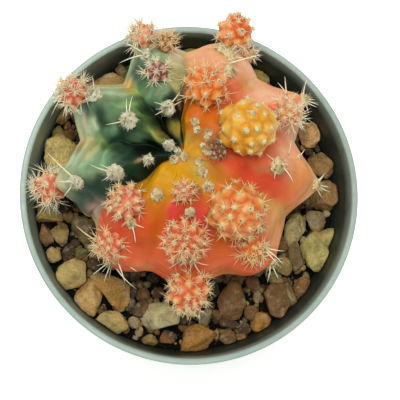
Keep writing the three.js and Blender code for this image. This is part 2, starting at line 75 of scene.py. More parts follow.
view_side = Vector((math.cos(VIEW_AZIMUTH), math.sin(VIEW_AZIMUTH), 0)) * math.sin(VIEW_TILT)
eye = Vector((0, 0, POT_HEIGHT)) + VIEW_DISTANCE * (view_side + Vector((0, 0, math.cos(VIEW_TILT))))
aim = Vector((0.0022, -0.0016, POT_HEIGHT))
forward = (aim - eye).normalized()
rightward = forward.cross(Vector((0, 1, 0))).normalized()
upward = rightward.cross(forward)

camera_data = bpy.data.cameras.new("camera")
camera_data.lens = LENS_MM
camera_data.sensor_width = 36
camera_data.clip_start = 0.01
camera = bpy.data.objects.new("camera", camera_data)
bpy.context.scene.collection.objects.link(camera)
camera.matrix_world = Matrix((rightward, upward, -forward)).transposed().to_4x4()
camera.location = eye
bpy.context.scene.camera = camera
print("camera at", tuple(round(value, 4) for value in eye))

# %% [markdown]
# ## Mesh helpers
# Most pieces are surfaces on a grid: rows run one way, columns the other, and a closed one has a pole at
# each end. Numpy works out all the points at once, in millimetres, and foreach_set copies whole arrays
# into Blender's mesh, which is far faster than adding vertices one by one.

# %% Put whole arrays into a mesh
MM = 0.001


def make_piece(name, points, quads=(), triangles=(), values=None, colours=None):
    """A smooth-shaded object from points in millimetres, its faces as rows of point numbers, and per-point
    attributes: single numbers in values, linear colours in colours."""
    points = np.asarray(points, float)
    quads = np.asarray(quads, int).reshape(-1, 4)
    triangles = np.asarray(triangles, int).reshape(-1, 3)
    corners = np.concatenate([quads.ravel(), triangles.ravel()]).astype(np.int32)
    sizes = np.concatenate([np.full(len(quads), 4), np.full(len(triangles), 3)])
    starts = (np.cumsum(sizes) - sizes).astype(np.int32)
    mesh = bpy.data.meshes.new(name)
    mesh.vertices.add(len(points))
    mesh.vertices.foreach_set("co", (points * MM).astype(np.float32).ravel())
    mesh.loops.add(len(corners))
    mesh.loops.foreach_set("vertex_index", corners)
    mesh.polygons.add(len(sizes))
    mesh.polygons.foreach_set("loop_start", starts)
    mesh.polygons.foreach_set("use_smooth", np.ones(len(sizes), bool))
    for key, numbers in (values or {}).items():
        layer = mesh.attributes.new(key, "FLOAT", "POINT")
        layer.data.foreach_set("value", np.asarray(numbers, np.float32))
    for key, rows in (colours or {}).items():
        layer = mesh.attributes.new(key, "FLOAT_COLOR", "POINT")
        filled = np.c_[np.asarray(rows, np.float32), np.ones(len(rows), np.float32)]
        layer.data.foreach_set("color", filled.astype(np.float32).ravel())
    mesh.update(calc_edges=True)
    mesh.validate()
    piece = bpy.data.objects.new(name, mesh)
    bpy.context.scene.collection.objects.link(piece)
    return piece


def skin_faces(rows, columns, upwards=False):
    """Faces of a closed skin: point 0 is one pole, then rows of points around, then the other pole. Rows
    run down from the top pole, or up from the bottom one where upwards is true."""
    row, column = np.meshgrid(np.arange(rows - 1), np.arange(columns), indexing="ij")
    here = 1 + row * columns + column
    beside = 1 + row * columns + (column + 1) % columns
    quads = np.stack([here, here + columns, beside + columns, beside], -1).reshape(-1, 4)
    around = np.arange(columns)
    first, second = 1 + around, 1 + (around + 1) % columns
    last_row = (rows - 1) * columns
    top = np.stack([np.zeros(columns, int), first, second], -1)
    bottom = np.stack([np.full(columns, rows * columns + 1), second + last_row, first + last_row], -1)
    triangles = np.concatenate([top, bottom])
    return (quads[:, ::-1], triangles[:, ::-1]) if upwards else (quads, triangles)


def circle(columns, start=0.0):
    """Unit directions in the level plane, evenly round from the given turn on: its cosine and its sine."""
    turn = start + np.linspace(0, 2 * np.pi, columns, endpoint=False)
    return np.stack([np.cos(turn), np.sin(turn)], -1)


def globe(rows, columns, start=0.0):
    """Unit directions for skin_faces: the top pole, rows of circles with the polar angle's sine as radius
    and its cosine as height, then the bottom pole."""
    polar = np.linspace(0, np.pi, rows + 2)[1:-1, None, None]
    rings = np.sin(polar) * circle(columns, start)
    heights = np.broadcast_to(np.cos(polar), (rows, columns, 1))
    body = np.concatenate([rings, heights], -1).reshape(-1, 3)
    return np.concatenate([[[0, 0, 1.0]], body, [[0, 0, -1.0]]])


def repeated(faces, copies, stride):
    """Each kind of face for every copy of a small shape: copy k's points are numbered k * stride higher."""
    steps = np.arange(copies)[:, None, None] * stride
    return [(kind[None] + steps).reshape(-1, kind.shape[-1]) for kind in faces]


def finish_piece(piece, material, slot, *nodes):
    """Gives the piece its material, lets it ride on the body, and hides the solids that it stands for. The
    slot is not used.
    """
    piece.data.materials.append(material)
    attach(piece, "root")
    if nodes:
        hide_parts(*nodes)
    print(piece.name, len(piece.data.vertices), "points,", len(piece.data.polygons), "faces")


# %% Noise, colours and directions as arrays
def ripple(points, wavelength, seed, waves=16):
    """Smooth noise, mostly between -1 and 1: the sum of sine waves with random directions, phases and
    lengths near the given one, divided by the root of half their number."""
    draw = np.random.default_rng(seed)
    directions = draw.normal(size=(waves, 3))
    directions /= np.linalg.norm(directions, axis=1, keepdims=True)
    lengths = wavelength * draw.uniform(0.6, 1.7, waves)
    phases = draw.uniform(0, 2 * np.pi, waves)
    turns = points @ (2 * np.pi * directions / lengths[:, None]).T + phases
    return np.sin(turns).sum(axis=-1) / math.sqrt(waves / 2) * 0.6


def linear(code):
    """A screen colour such as "#e5a021" as the linear red, green and blue that a shader takes."""
    screen = np.array([int(code[start:start + 2], 16) for start in (1, 3, 5)]) / 255
    return np.where(screen <= 0.04045, screen / 12.92, ((screen + 0.055) / 1.055) ** 2.4)


def smoothstep(low, high, numbers):
    """0 below low and 1 above high, with a soft S between."""
    share = np.clip((numbers - low) / (high - low), 0, 1)
    return share * share * (3 - 2 * share)


def unit(vectors):
    """Each vector divided by its own length."""
    return vectors / np.maximum(np.linalg.norm(vectors, axis=-1, keepdims=True), 1e-9)


def across(directions):
    """Two unit vectors square to each direction and to each other."""
    upright = np.abs(directions[..., 2:3]) < 0.9
    aside = np.where(upright, np.array([0, 0, 1.0]), np.array([1.0, 0, 0]))
    first = unit(np.cross(aside, directions))
    return first, np.cross(directions, first)


# %% [markdown]
# ## Shader helpers
# A material is a small tree of nodes. These helpers add one node with its sockets filled in a single call,
# so that each finish below reads as a list of what the real surface has: patches, specks, pores, gloss.

# %% Node helpers
class Finish:
    """One material around a Principled BSDF. Numbers that are the same all over go on its own sockets."""

    def __init__(self, name, **plain):
        self.material = bpy.data.materials.new(name)
        self.material.use_nodes = True
        self.tree = self.material.node_tree
        self.shader = self.tree.nodes["Principled BSDF"]
        for key, value in plain.items():
            self.shader.inputs[key.replace("_", " ")].default_value = value
        self.place = self.add("ShaderNodeTexCoord").outputs["Object"]

    def add(self, kind, settings=None, **sockets):
        """A node with its sockets set to a number or a colour, or linked to another node's output."""
        made = self.tree.nodes.new(kind)
        for key, value in (settings or {}).items():
            setattr(made, key, value)
        for key, value in sockets.items():
            self.fill(made.inputs[key.replace("_", " ")], value)
        return made

    def fill(self, socket, value):
        """Links the socket to another one, or sets it to a number or a colour."""
        if isinstance(value, bpy.types.NodeSocket):
            self.tree.links.new(value, socket)
        elif isinstance(value, (int, float)):
            socket.default_value = value
        else:
            socket.default_value = (*value, 1.0)[:len(socket.default_value)]

    def noise(self, scale, detail=3.0, roughness=0.55):
        """Cloudy noise on the object's own coordinates, in cells per metre."""
        made = self.add("ShaderNodeTexNoise", Vector=self.place, Scale=scale, Detail=detail,
                        Roughness=roughness)
        return made.outputs["Fac"]

    def cells(self, scale):
        """Distance to the nearest point of a random scatter, in cells per metre."""
        return self.add("ShaderNodeTexVoronoi", Vector=self.place, Scale=scale).outputs["Distance"]

    def attribute(self, name, output="Fac"):
        """A per-point number of the mesh, or with output "Color" a per-point colour."""
        return self.add("ShaderNodeAttribute", {"attribute_name": name}).outputs[output]

    def ramp(self, value, low, high, to_low=0.0, to_high=1.0):
        """The value mapped from low..high to to_low..to_high, and held there beyond them."""
        made = self.add("ShaderNodeMapRange", Value=value)
        for key, number in (("From Min", low), ("From Max", high), ("To Min", to_low), ("To Max", to_high)):
            made.inputs[key].default_value = number
        return made.outputs["Result"]

    def sum(self, one, other, operation="ADD"):
        """Two numbers added, or put through another operation of the math node."""
        made = self.add("ShaderNodeMath", {"operation": operation})
        self.fill(made.inputs[0], one)
        self.fill(made.inputs[1], other)
        return made.outputs[0]

    def mix(self, share, one, other, blend="MIX"):
        """One colour turned into the other by a share from 0 to 1."""
        made = self.add("ShaderNodeMix", {"data_type": "RGBA", "blend_type": blend})
        self.fill(made.inputs[0], share)
        self.fill(made.inputs[6], one)
        self.fill(made.inputs[7], other)
        return made.outputs[2]

    def stain(self, colour, code, pattern, low, high, least=0.0, most=1.0):
        """The colour turned towards a screen colour, by a share that a pattern's low..high sets."""
        return self.mix(self.ramp(pattern, low, high, least, most), colour, linear(code))

    def bump(self, height, distance, strength=1.0, below=None):
        """A normal tilted by a height of at most distance metres, over another such normal if given."""
        made = self.add("ShaderNodeBump", Height=height, Distance=distance, Strength=strength)
        if below is not None:
            self.fill(made.inputs["Normal"], below)
        return made.outputs["Normal"]

    def done(self, **sockets):
        """Links colour, roughness and normal to the shader, and gives the finished material."""
        for key, value in sockets.items():
            self.fill(self.shader.inputs[key.replace("_", " ")], value)
        return self.material


# %% [markdown]
# ## Floor and light
# The real thing was set on white and lit softly from above. One large area light gives that, with a white
# world to fill the shadows. The standard view transform keeps the plant's strong oranges as they are.

# %% Floor
FLOOR_GLOW = 0.55


def floor_material():
    """Plain near-white paper, with a faint cloudiness of tone."""
    paper = Finish("white_paper", Roughness=0.9, Emission_Strength=FLOOR_GLOW)
    paper.shader.inputs["Emission Color"].default_value = (1, 1, 1, 1)
    tone = paper.stain(linear("#f4f4f2"), "#efefec", paper.noise(6.0), 0.3, 0.7)
    return paper.done(Base_Color=tone)


HALF_FLOOR = 6.0
floor_corners = [(x * HALF_FLOOR, y * HALF_FLOOR, 0) for x, y in ((-1, -1), (1, -1), (1, 1), (-1, 1))]
floor_mesh = bpy.data.meshes.new("floor")
floor_mesh.from_pydata(floor_corners, [], [(0, 1, 2, 3)])
floor_mesh.materials.append(floor_material())
floor = bpy.data.objects.new("floor", floor_mesh)
bpy.context.scene.collection.objects.link(floor)


# %% Light and world
LIGHT_PLACE = Vector((-0.16, 0.14, 1.2))
LIGHT_AIM = Vector((0, 0, 0.08))

soft_box = bpy.data.lights.new("soft_box", "AREA")
soft_box.shape = "DISK"
soft_box.size = 0.6
soft_box.energy = 11.0
soft_box.color = (1.0, 0.99, 0.97)
light = bpy.data.objects.new("soft_box", soft_box)
light.location = LIGHT_PLACE
light.rotation_euler = (LIGHT_AIM - LIGHT_PLACE).to_track_quat("-Z", "Y").to_euler()
bpy.context.scene.collection.objects.link(light)
world = bpy.data.worlds.new("studio")
world.use_nodes = True
world.node_tree.nodes["Background"].inputs["Color"].default_value = (1, 1, 1, 1)
world.node_tree.nodes["Background"].inputs["Strength"].default_value = 0.3
bpy.context.scene.world = world
bpy.context.scene.view_settings.view_transform = "Standard"

# %% [markdown]
# ## Pot
# A thin moulded pot: a tapered wall, a band round the rim, and a flat floor with drain holes. Its profile
# is turned about the axis. Each corner of the profile is rounded with a small curve, because a moulded
# edge is never quite sharp and the highlight along the rim depends on it.

# %% Pot profile and solid of revolution
POT_TOP = 75.0
TOP_RADIUS = 42.5
BASE_RADIUS = 32.5
WALL = 1.5
POT_FLOOR = 2.0
BAND = 9.0
BAND_STEP = 0.9
DRAIN_HOLES = 6
DRAIN_RADIUS = 3.0
DRAIN_RING = 19.0
INNER_TOP = TOP_RADIUS - WALL - 0.1
INNER_FLOOR = BASE_RADIUS - WALL - 1


def inner_radius(height):
    """The radius of the pot's inner wall at a height, a straight line from floor to rim."""
    return INNER_FLOOR + (INNER_TOP - INNER_FLOOR) * (height - POT_FLOOR) / (POT_TOP - POT_FLOOR)


def rounded(corners, cut, steps=5):
    """Each inner corner of a line becomes a quadratic curve that starts and ends cut short of it."""
    corners = np.asarray(corners, float)
    share = np.linspace(0, 1, steps)[:, None]
    line = [corners[:1]]
    for before, corner, after in zip(corners, corners[1:], corners[2:]):
        near = min(cut, 0.45 * np.linalg.norm(before - corner), 0.45 * np.linalg.norm(after - corner))
        start = corner + near * unit(before - corner)
        end = corner + near * unit(after - corner)
        line.append((1 - share) ** 2 * start + 2 * share * (1 - share) * corner + share ** 2 * end)
    return np.concatenate([*line, corners[-1:]])


def turned(profile, sides, centre=(0, 0)):
    """Points of a profile of (radius, height) turned about an upright axis, with its two ends as poles."""
    rows = profile[1:-1, None, :1] * circle(sides)
    heights = np.broadcast_to(profile[1:-1, None, 1:], (*rows.shape[:2], 1))
    body = np.concatenate([rows, heights], -1).reshape(-1, 3)
    ends = [[0, 0, profile[0, 1]], [0, 0, profile[-1, 1]]]
    return np.concatenate([ends[:1], body, ends[1:]]) + np.array([*centre, 0])


def pot_profile():
    """The pot's section as (radius, height): up the outer wall and the band, over the rim, down inside."""
    band_radius = TOP_RADIUS - 0.4
    corners = [
        (0, 0), (BASE_RADIUS - 1.4, 0), (BASE_RADIUS - 0.8, 1.2),
        (band_radius - BAND_STEP, POT_TOP - BAND), (band_radius, POT_TOP - BAND + 0.3),
        (TOP_RADIUS, POT_TOP), (INNER_TOP, POT_TOP),
        (INNER_FLOOR, POT_FLOOR), (0, POT_FLOOR),
    ]
    line = rounded(corners, 0.55)
    wall = np.linspace(line[-8], line[-7], 12)[1:-1]
    return np.concatenate([line[:-7], wall, line[-7:]])


POT_SIDES = 192
profile = pot_profile()
pot_faces = skin_faces(len(profile) - 2, POT_SIDES, upwards=True)
pot = make_piece("pot_shell", turned(profile, POT_SIDES), *pot_faces)
print("pot profile has", len(profile), "points")


# %% Drain holes
def drill_holes(shell):
    """Cuts the drain holes with one Boolean modifier and keeps its result as the mesh."""
    over = POT_FLOOR + 1
    drill = np.array([(0, -1), (DRAIN_RADIUS, -1), (DRAIN_RADIUS, over), (0, over)], float)
    sides = 32
    drills = [turned(drill, sides, centre) for centre in DRAIN_RING * circle(DRAIN_HOLES)]
    faces = repeated(skin_faces(2, sides, upwards=True), DRAIN_HOLES, len(drills[0]))
    cutter = make_piece("drills", np.concatenate(drills), *faces)
    cut = shell.modifiers.new("drain_holes", "BOOLEAN")
    cut.operation = "DIFFERENCE"
    cut.object = cutter
    cut.solver = "EXACT"
    bpy.context.view_layer.update()
    evaluated = shell.evaluated_get(bpy.context.evaluated_depsgraph_get())
    drilled = bpy.data.meshes.new_from_object(evaluated)
    shell.modifiers.clear()
    shell.data = drilled
    drilled.name = shell.name
    bpy.data.objects.remove(cutter)


drill_holes(pot)
print("pot with drain holes:", len(pot.data.polygons), "faces")

# %% [markdown]
# The pot's plastic is a flat sage grey with a satin skin. Inside, near the gravel, it is dusty and stained
# with brown soil. The stain follows the height, and noise breaks up its edge. The inner wall also carries
# painted shade, darker from just under the rim down to the gravel. Its left side is painted lighter, as if
# lit, and has less of the soil stain.

# %% Pot plastic
GRAVEL_LINE = 0.069


def pot_material():
    plastic = Finish("sage_plastic", IOR=1.46)
    tone = plastic.stain(linear("#9bb0a5"), "#abbdb1", plastic.noise(60.0), 0.35, 0.65)
    split = plastic.add("ShaderNodeSeparateXYZ", Vector=plastic.place)
    span = plastic.sum(split.outputs["X"], split.outputs["X"], "MULTIPLY")
    depth = plastic.sum(split.outputs["Y"], split.outputs["Y"], "MULTIPLY")
    radius = plastic.sum(plastic.sum(span, depth), 0.5, "POWER")
    wall_slope = (INNER_TOP - INNER_FLOOR) / (POT_TOP - POT_FLOOR)
    wall_start = (INNER_FLOOR + 0.5 * WALL - wall_slope * POT_FLOOR) * MM
    middle = plastic.sum(plastic.sum(split.outputs["Z"], wall_slope, "MULTIPLY"), wall_start)
    inside = plastic.ramp(plastic.sum(radius, middle, "SUBTRACT"), 0.0001, -0.0001)
    edge = plastic.sum(split.outputs["Z"], plastic.ramp(plastic.noise(190.0, 4.0), 0.3, 0.7, -0.004, 0.004))
    low = plastic.sum(plastic.ramp(edge, GRAVEL_LINE + 0.0035, GRAVEL_LINE - 0.003), inside, "MULTIPLY")
    specks = plastic.ramp(plastic.noise(1300.0, 2.0), 0.62, 0.7)
    # Painted light: the left side of the wall is lighter, and takes less of the soil stain.
    lit_left_less_stain = plastic.ramp(split.outputs["X"], -0.036, -0.010, 0.12, 1.0)
    splashes = plastic.sum(plastic.sum(specks, 0.6, "MAXIMUM"), low, "MULTIPLY")
    dirt = plastic.sum(splashes, lit_left_less_stain, "MULTIPLY")
    # Painted shade: the inner wall darkens from just under the rim down towards the gravel.
    painted_wall_shade = plastic.ramp(split.outputs["Z"], 0.0746, 0.0700, 0.18, 0.94)
    deeper = plastic.sum(painted_wall_shade, lit_left_less_stain, "MULTIPLY")
    shaded = plastic.mix(plastic.sum(inside, deeper, "MULTIPLY"), tone, linear("#222c24"))
    stained = plastic.mix(dirt, shaded, linear("#1f2318"))
    dust = plastic.sum(plastic.ramp(plastic.noise(420.0, 4.0), 0.6, 0.75, 0.0, 0.2), inside, "MULTIPLY")
    coat = plastic.mix(dust, stained, linear("#848a78"))
    gloss = plastic.ramp(plastic.noise(700.0, 3.0), 0.3, 0.7, 0.36, 0.55)
    grain = plastic.bump(plastic.noise(2600.0, 2.0), 0.00004, 0.5)
    return plastic.done(Base_Color=coat, Roughness=gloss, Normal=grain)


finish_piece(pot, pot_material(), "pot_plastic", "pot")

# %% [markdown]
# ## Soil
# The potting soil lies under the gravel and shows only through the drain holes, so its solid stays as it is
# and only gets a crumbly dark finish.

# %% Soil finish on the solid
def soil_material(name="potting_soil"):
    soil = Finish(name, Roughness=0.95, Specular_IOR_Level=0.1)
    crumbs = soil.cells(900.0)
    # Near black: the soil's own dark colour, darkened further as painted shade of the gaps between stones.
    tone = soil.stain(linear("#080907"), "#171610", soil.noise(260.0, 5.0), 0.35, 0.7)
    flecked = soil.stain(tone, "#4f4433", soil.noise(1500.0, 1.0), 0.68, 0.74)
    rough = soil.bump(crumbs, 0.0006, 1.0)
    return soil.done(Base_Color=flecked, Normal=rough)


soil_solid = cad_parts["soil"]
soil_solid.data.materials.clear()
soil_solid.data.materials.append(soil_material())
print("soil solid keeps its", len(soil_solid.data.polygons), "faces")

# %% [markdown]
# ## Gravel
# The top layer is crushed and worn stone, 2 to 12 mm, in tan, olive, rust, brown and grey. A broken pebble
# is close to a convex block with blunt corners: the sphere's directions are each pushed out to the nearest
# of a few random planes, with a soft minimum so that the edges between facets stay round. The stones that
# stand out lie where the real ones do, and a seeded scatter fills the rest.

# %% The stones that stand out
SOIL_TOP = 59.5
GAP = 0.3
BED_TOP = SOIL_TOP + GAP + 1.8
STONE_SINK = 0.75
STONE_COLOURS = {
    "tan": "#c2a463", "ochre": "#c9ad62", "sand": "#d2b871", "orange": "#e0b670", "amber": "#c89a50",
    "rust": "#cc9544", "brown": "#8d6840", "wood": "#8a754a", "dark": "#5f4a34", "olive": "#a29758",
    "grey": "#bcab80", "pale": "#d3c791", "butter": "#eed894", "clay": "#a8834e",
    "mustard": "#cdb455", "lichen": "#d2c274", "honey": "#efd684", "copper": "#eeb878",
}
# The scattered stones take mostly dark colours: partly their own, partly painted shade of the gaps they lie
# in.
SMALL_COLOURS = ("brown", "wood", "dark", "olive", "tan", "brown", "grey", "dark")
# Direction and distance from the pot's axis, length, width, turn of the long side, and colour
PLACED_STONES = [
    (162, 34.6, 10.4, 9.0, 50, "honey"), (158, 32.0, 5.7, 3.6, 90, "brown"),
    (187, 35.0, 7.1, 4.2, 0, "ochre"), (196, 33.6, 5.8, 4.8, 90, "tan"),
    (195, 37.2, 6.0, 3.8, 110, "brown"), (204, 37.0, 4.4, 3.8, 150, "tan"),
    (205, 33.2, 4.2, 3.2, 60, "dark"), (198, 27.2, 8.0, 6.6, 100, "wood"),
    (208, 30.1, 4.3, 3.7, 20, "olive"), (214, 35.2, 8.4, 7.5, 20, "sand"),
    (225.5, 35.6, 10.0, 7.0, 75, "orange"), (230.5, 30.0, 12.4, 6.8, 141, "amber"),
    (239.3, 36.9, 8.6, 5.8, 170, "sand"), (216, 29.3, 4.2, 3.4, 0, "dark"),
    (257, 31.4, 10.6, 7.4, -10, "pale"), (248, 30.8, 5.0, 4.2, 30, "dark"),
    (256, 37.4, 4.3, 3.3, 0, "olive"), (263, 35.9, 4.6, 3.6, 0, "dark"),
    (254, 25.3, 3.5, 3.2, 0, "brown"), (275, 36.0, 9.5, 7.6, 0, "rust"),
    (279, 30.9, 4.8, 4.0, 90, "grey"), (294, 28.7, 10.8, 7.6, 85, "brown"),
    (289, 33.7, 5.6, 3.6, 0, "dark"), (287, 37.0, 4.8, 4.4, 0, "brown"),
    (300, 33.5, 4.5, 4.0, 60, "brown"), (294, 36.5, 4.0, 3.2, 0, "dark"),
    (301, 37.2, 6.0, 5.2, 70, "rust"), (312, 35.2, 9.5, 6.8, 95, "brown"),
    (317, 36.0, 6.8, 4.8, 100, "wood"), (323, 37.8, 6.8, 4.4, 60, "brown"),
    (292, 38.2, 3.6, 2.6, 0, "brown"), (309, 27.7, 5.0, 4.0, 90, "dark"),
    # The copper stone is lighter than its own colour: painted light on a stone that lies in shade.
    (47, 38.6, 4.0, 3.6, 0, "dark"), (27.5, 37.2, 7.2, 6.2, 30, "copper"),
    (14, 36.4, 7.8, 7.4, 0, "clay"), (1.5, 36.2, 9.0, 8.2, 20, "clay"),
    (351, 34.3, 6.2, 5.4, 140, "grey"), (344, 29.2, 9.6, 6.0, 75, "butter"),
    (338, 36.7, 11.4, 8.4, 105, "lichen"), (333, 32.2, 9.4, 4.2, 100, "wood"),
    (345, 38.8, 6.4, 5.6, 30, "lichen"), (326, 30.5, 5.9, 4.4, 110, "tan"),
    (58.5, 37.4, 6.6, 4.6, 80, "mustard"), (125, 36.4, 11.6, 4.8, 10, "tan"),
    (87, 37.8, 7.2, 4.6, 10, "olive"), (146, 38.2, 5.4, 4.4, 70, "tan"),
]
SHARPNESS = 24


def stone_points(rows, columns, size, turn, place, draw):
    """A blunt block: along each direction of a polar grid the reach is the soft least of plane distance
    over facing, by a high negative power, then the block is scaled to its length, width and height."""
    directions = globe(rows, columns)
    planes = unit(draw.normal(size=(12, 3)))
    distances = draw.uniform(0.6, 1.0, 12)
    facing = np.maximum(directions @ planes.T, 0.05) / distances
    reach = (facing ** SHARPNESS).sum(axis=1) ** (-1 / SHARPNESS)
    block = directions * np.minimum(reach, 1.15)[:, None]
    rough = int(draw.integers(1 << 30))
    block *= (1 + 0.05 * ripple(block, 0.7, rough) + 0.025 * ripple(block, 0.25, rough + 1))[:, None]
    block = (block - (block.max(axis=0) + block.min(axis=0)) / 2) / (block.max(axis=0) - block.min(axis=0))
    block = block * np.array(size)
    lean = math.radians(draw.uniform(-14, 14))
    rise, fall = math.cos(lean), math.sin(lean)
    block = block @ np.array([[1, 0, 0], [0, rise, fall], [0, -fall, rise]])
    along, aside = math.cos(math.radians(turn)), math.sin(math.radians(turn))
    return block @ np.array([[along, aside, 0], [-aside, along, 0], [0, 0, 1]]) + np.array(place)


# %% Scatter the smaller stones and join them all
STEM_AXIS = np.array([-3.4, 6.8])
UNDER_PLANT = 22.0
SCATTERED = 230
# The scatter's rounds: how many tries, the longest stone, and how near its neighbours it may lie
ROUNDS = ((2499, 5.8, 0.8), (3000, 3.6, 0.8), (3501, 2.4, 0.7))
# Stones shorter than this get the plant's shadow painted on: half their colour near the plant, less and
# less further out
SHADOWED_LENGTH = 5.9
PLANT_SHADOW_FROM = 29
PLANT_SHADOW_SPAN = 12


def keep_in_pot(points):
    """Points moved inwards where they would touch the pot's wall, and kept above the soil."""
    reach = np.hypot(points[:, 0], points[:, 1])
    most = inner_radius(points[:, 2]) - GAP
    share = np.minimum(1, most / np.maximum(reach, 1e-6))
    return np.c_[points[:, :2] * share[:, None], np.maximum(points[:, 2], SOIL_TOP + GAP)]


def from_plant(x, y):
    """Distance of a place from the plant's axis."""
    return math.hypot(x - STEM_AXIS[0], y - STEM_AXIS[1])


def try_stone(laid, largest, near, draw):
    """One random stone, laid where it falls clear of the plant's foot and of the stones already laid."""
    long = draw.uniform(0.62, 1.0) * largest
    wide = long * draw.uniform(0.65, 0.95)
    out = (inner_radius(BED_TOP) - GAP - wide / 2) * math.sqrt(draw.random())
    angle = draw.uniform(0, 2 * math.pi)
    x, y = out * math.cos(angle), out * math.sin(angle)
    crowded = any(math.hypot(x - p[0], y - p[1]) < near * ((s[0] + s[1]) / 4 + (long + wide) / 4)
                  for s, _, p, _ in laid)
    if crowded or from_plant(x, y) < UNDER_PLANT:
        return
    high = 0.8 * wide
    place = (x, y, BED_TOP + 0.3 * high + draw.uniform(0.0, 0.8))
    colour = SMALL_COLOURS[int(draw.integers(len(SMALL_COLOURS)))]
    laid.append(((long, wide, high), draw.uniform(0, 360), place, colour))


def lay_stones():
    """Sizes, turns, places and colours of all the stones: the placed ones, then the seeded tries, first
    large ones, then small ones in what is left."""
    draw = np.random.default_rng(41)
    laid = []
    for azimuth, out, long, wide, turn, colour in PLACED_STONES:
        x, y = out * math.cos(math.radians(azimuth)), out * math.sin(math.radians(azimuth))
        high = 0.85 * wide
        laid.append(((long, wide, high), turn, (x, y, BED_TOP + STONE_SINK * high / 2), colour))
    for tries, largest, near in ROUNDS:
        for _ in range(tries):
            if len(laid) < len(PLACED_STONES) + SCATTERED:
                try_stone(laid, largest, near, draw)
    return laid, draw


def gravel_arrays():
    """All the stones as one mesh, with finer grids on larger stones. Short stones are darker towards the
    plant: the plant's shadow, painted on."""
    laid, draw = lay_stones()
    parts = []
    count = 0
    for size, turn, place, colour in laid:
        rows, columns = (26, 40) if size[0] > 6.5 else (16, 26) if size[0] > 4 else (8, 12)
        stone = keep_in_pot(stone_points(rows, columns, size, turn, place, draw))
        quads, triangles = skin_faces(rows, columns)
        shade = linear(STONE_COLOURS[colour]) * draw.uniform(0.85, 1.12)
        # Painted shadow of the plant on the short stones.
        if size[0] < SHADOWED_LENGTH:
            shade = shade * min(1.0, max(0.5, 0.5 + (from_plant(*place[:2]) - PLANT_SHADOW_FROM) / PLANT_SHADOW_SPAN))
        parts.append((stone, quads + count, triangles + count, np.broadcast_to(shade, stone.shape),
                      np.full(len(stone), draw.random())))
        count += len(stone)
    return [np.concatenate(part) for part in zip(*parts)]


stone_parts = gravel_arrays()
gravel = make_piece("gravel_stones", *stone_parts[:3], {"stone_kind": stone_parts[4]},
                    {"stone_colour": stone_parts[3]})
print("gravel reaches", round(stone_parts[0][:, 2].max(), 2), "mm")

# %% [markdown]
# Real stones differ from one to the next and again over each one: cloudy stains, dark grains, a pitted
# skin.
# Tiny pale flecks are painted on as glints. The stone's own colour comes as an attribute, and a second
# random number per stone decides how speckled it is.

# %% Stone finish
def stone_material():
    stone = Finish("mixed_gravel", IOR=1.5, Specular_IOR_Level=0.25)
    own = stone.attribute("stone_colour", "Color")
    kind = stone.attribute("stone_kind")
    clouds = stone.noise(300.0, 6.0, 0.68)
    grime = stone.mix(0.65, own, linear("#30261a"))
    dark = stone.mix(stone.ramp(clouds, 0.36, 0.58, 0.72, 0.0), own, grime)
    warm = stone.stain(dark, "#a9773f", stone.noise(150.0, 3.0), 0.52, 0.68, 0.0, 0.5)
    pale = stone.stain(warm, "#d5c7a4", stone.noise(330.0, 4.0), 0.55, 0.75, 0.0, 0.55)
    grains = stone.cells(1500.0)
    few = stone.ramp(kind, 0.2, 0.9, 0.16, 0.34)
    spots = stone.sum(grains, few, "LESS_THAN")
    specked = stone.mix(stone.sum(spots, 0.3, "MULTIPLY"), pale, linear("#453a30"))
    # Painted glints: tiny pale flecks.
    with_painted_glints = stone.stain(specked, "#e4dcc6", stone.noise(2300.0, 2.0), 0.66, 0.74, 0.0, 0.5)
    pits = stone.bump(stone.noise(650.0, 6.0, 0.72), 0.0011, 0.9)
    rough = stone.bump(grains, 0.0002, 0.5, pits)
    dull = stone.ramp(clouds, 0.3, 0.7, 0.92, 0.7)
    return stone.done(Base_Color=with_painted_glints, Roughness=dull, Normal=rough)


finish_piece(gravel, stone_material(), "gravel", "gravel")

# %% [markdown]
# Between the stones lies a bed of dark crumbs, darkened nearly to black as painted shade of the gaps. It is
# a ring-shaped sheet from the plant's neck to the pot's wall: one parameter goes round, the other outwards,
# and noise lifts it. Its underside is flat and it is closed at both edges, so that it is a solid slab.

# %% Crumb bed
NECK_RADIUS = 12.3


def bed_points(rows, columns):
    """A slab between two circles: the first half of the rows runs outwards over the top, lifted by noise at
    two scales, and the second half runs back over the flat underside."""
    ring = circle(columns)
    share = np.linspace(0, 1, rows)[:, None, None]
    outer = inner_radius(BED_TOP) - GAP
    flat = (1 - share) * (STEM_AXIS + NECK_RADIUS * ring) + share * outer * ring
    top = np.concatenate([flat, np.full((rows, columns, 1), BED_TOP)], -1)
    lift = 0.35 * ripple(top.reshape(-1, 3), 3.2, 8) + 0.25 * ripple(top.reshape(-1, 3), 1.3, 9)
    top[..., 2] += np.clip(lift.reshape(rows, columns), -0.7, 0.45)
    under = np.concatenate([flat[::-1], np.full((rows, columns, 1), SOIL_TOP + GAP)], -1)
    return np.concatenate([top, under])


BED_ROWS = 46
BED_COLUMNS = 220
slab = bed_points(BED_ROWS, BED_COLUMNS)
row, column = np.meshgrid(np.arange(2 * BED_ROWS), np.arange(BED_COLUMNS), indexing="ij")
here = row * BED_COLUMNS + column
beside = row * BED_COLUMNS + (column + 1) % BED_COLUMNS
below = (row + 1) % (2 * BED_ROWS) * BED_COLUMNS
bed_quads = np.stack([here, below + column, below + (column + 1) % BED_COLUMNS, beside], -1).reshape(-1, 4)
bed = make_piece("crumb_bed", slab.reshape(-1, 3), bed_quads)
finish_piece(bed, soil_material("dark_crumbs"), "gravel")

# %% [markdown]
# Fine grit sits in the gaps: small angular chips, each an eight-sided bead with only a few dozen faces.

# %% Grit
GRIT = 900


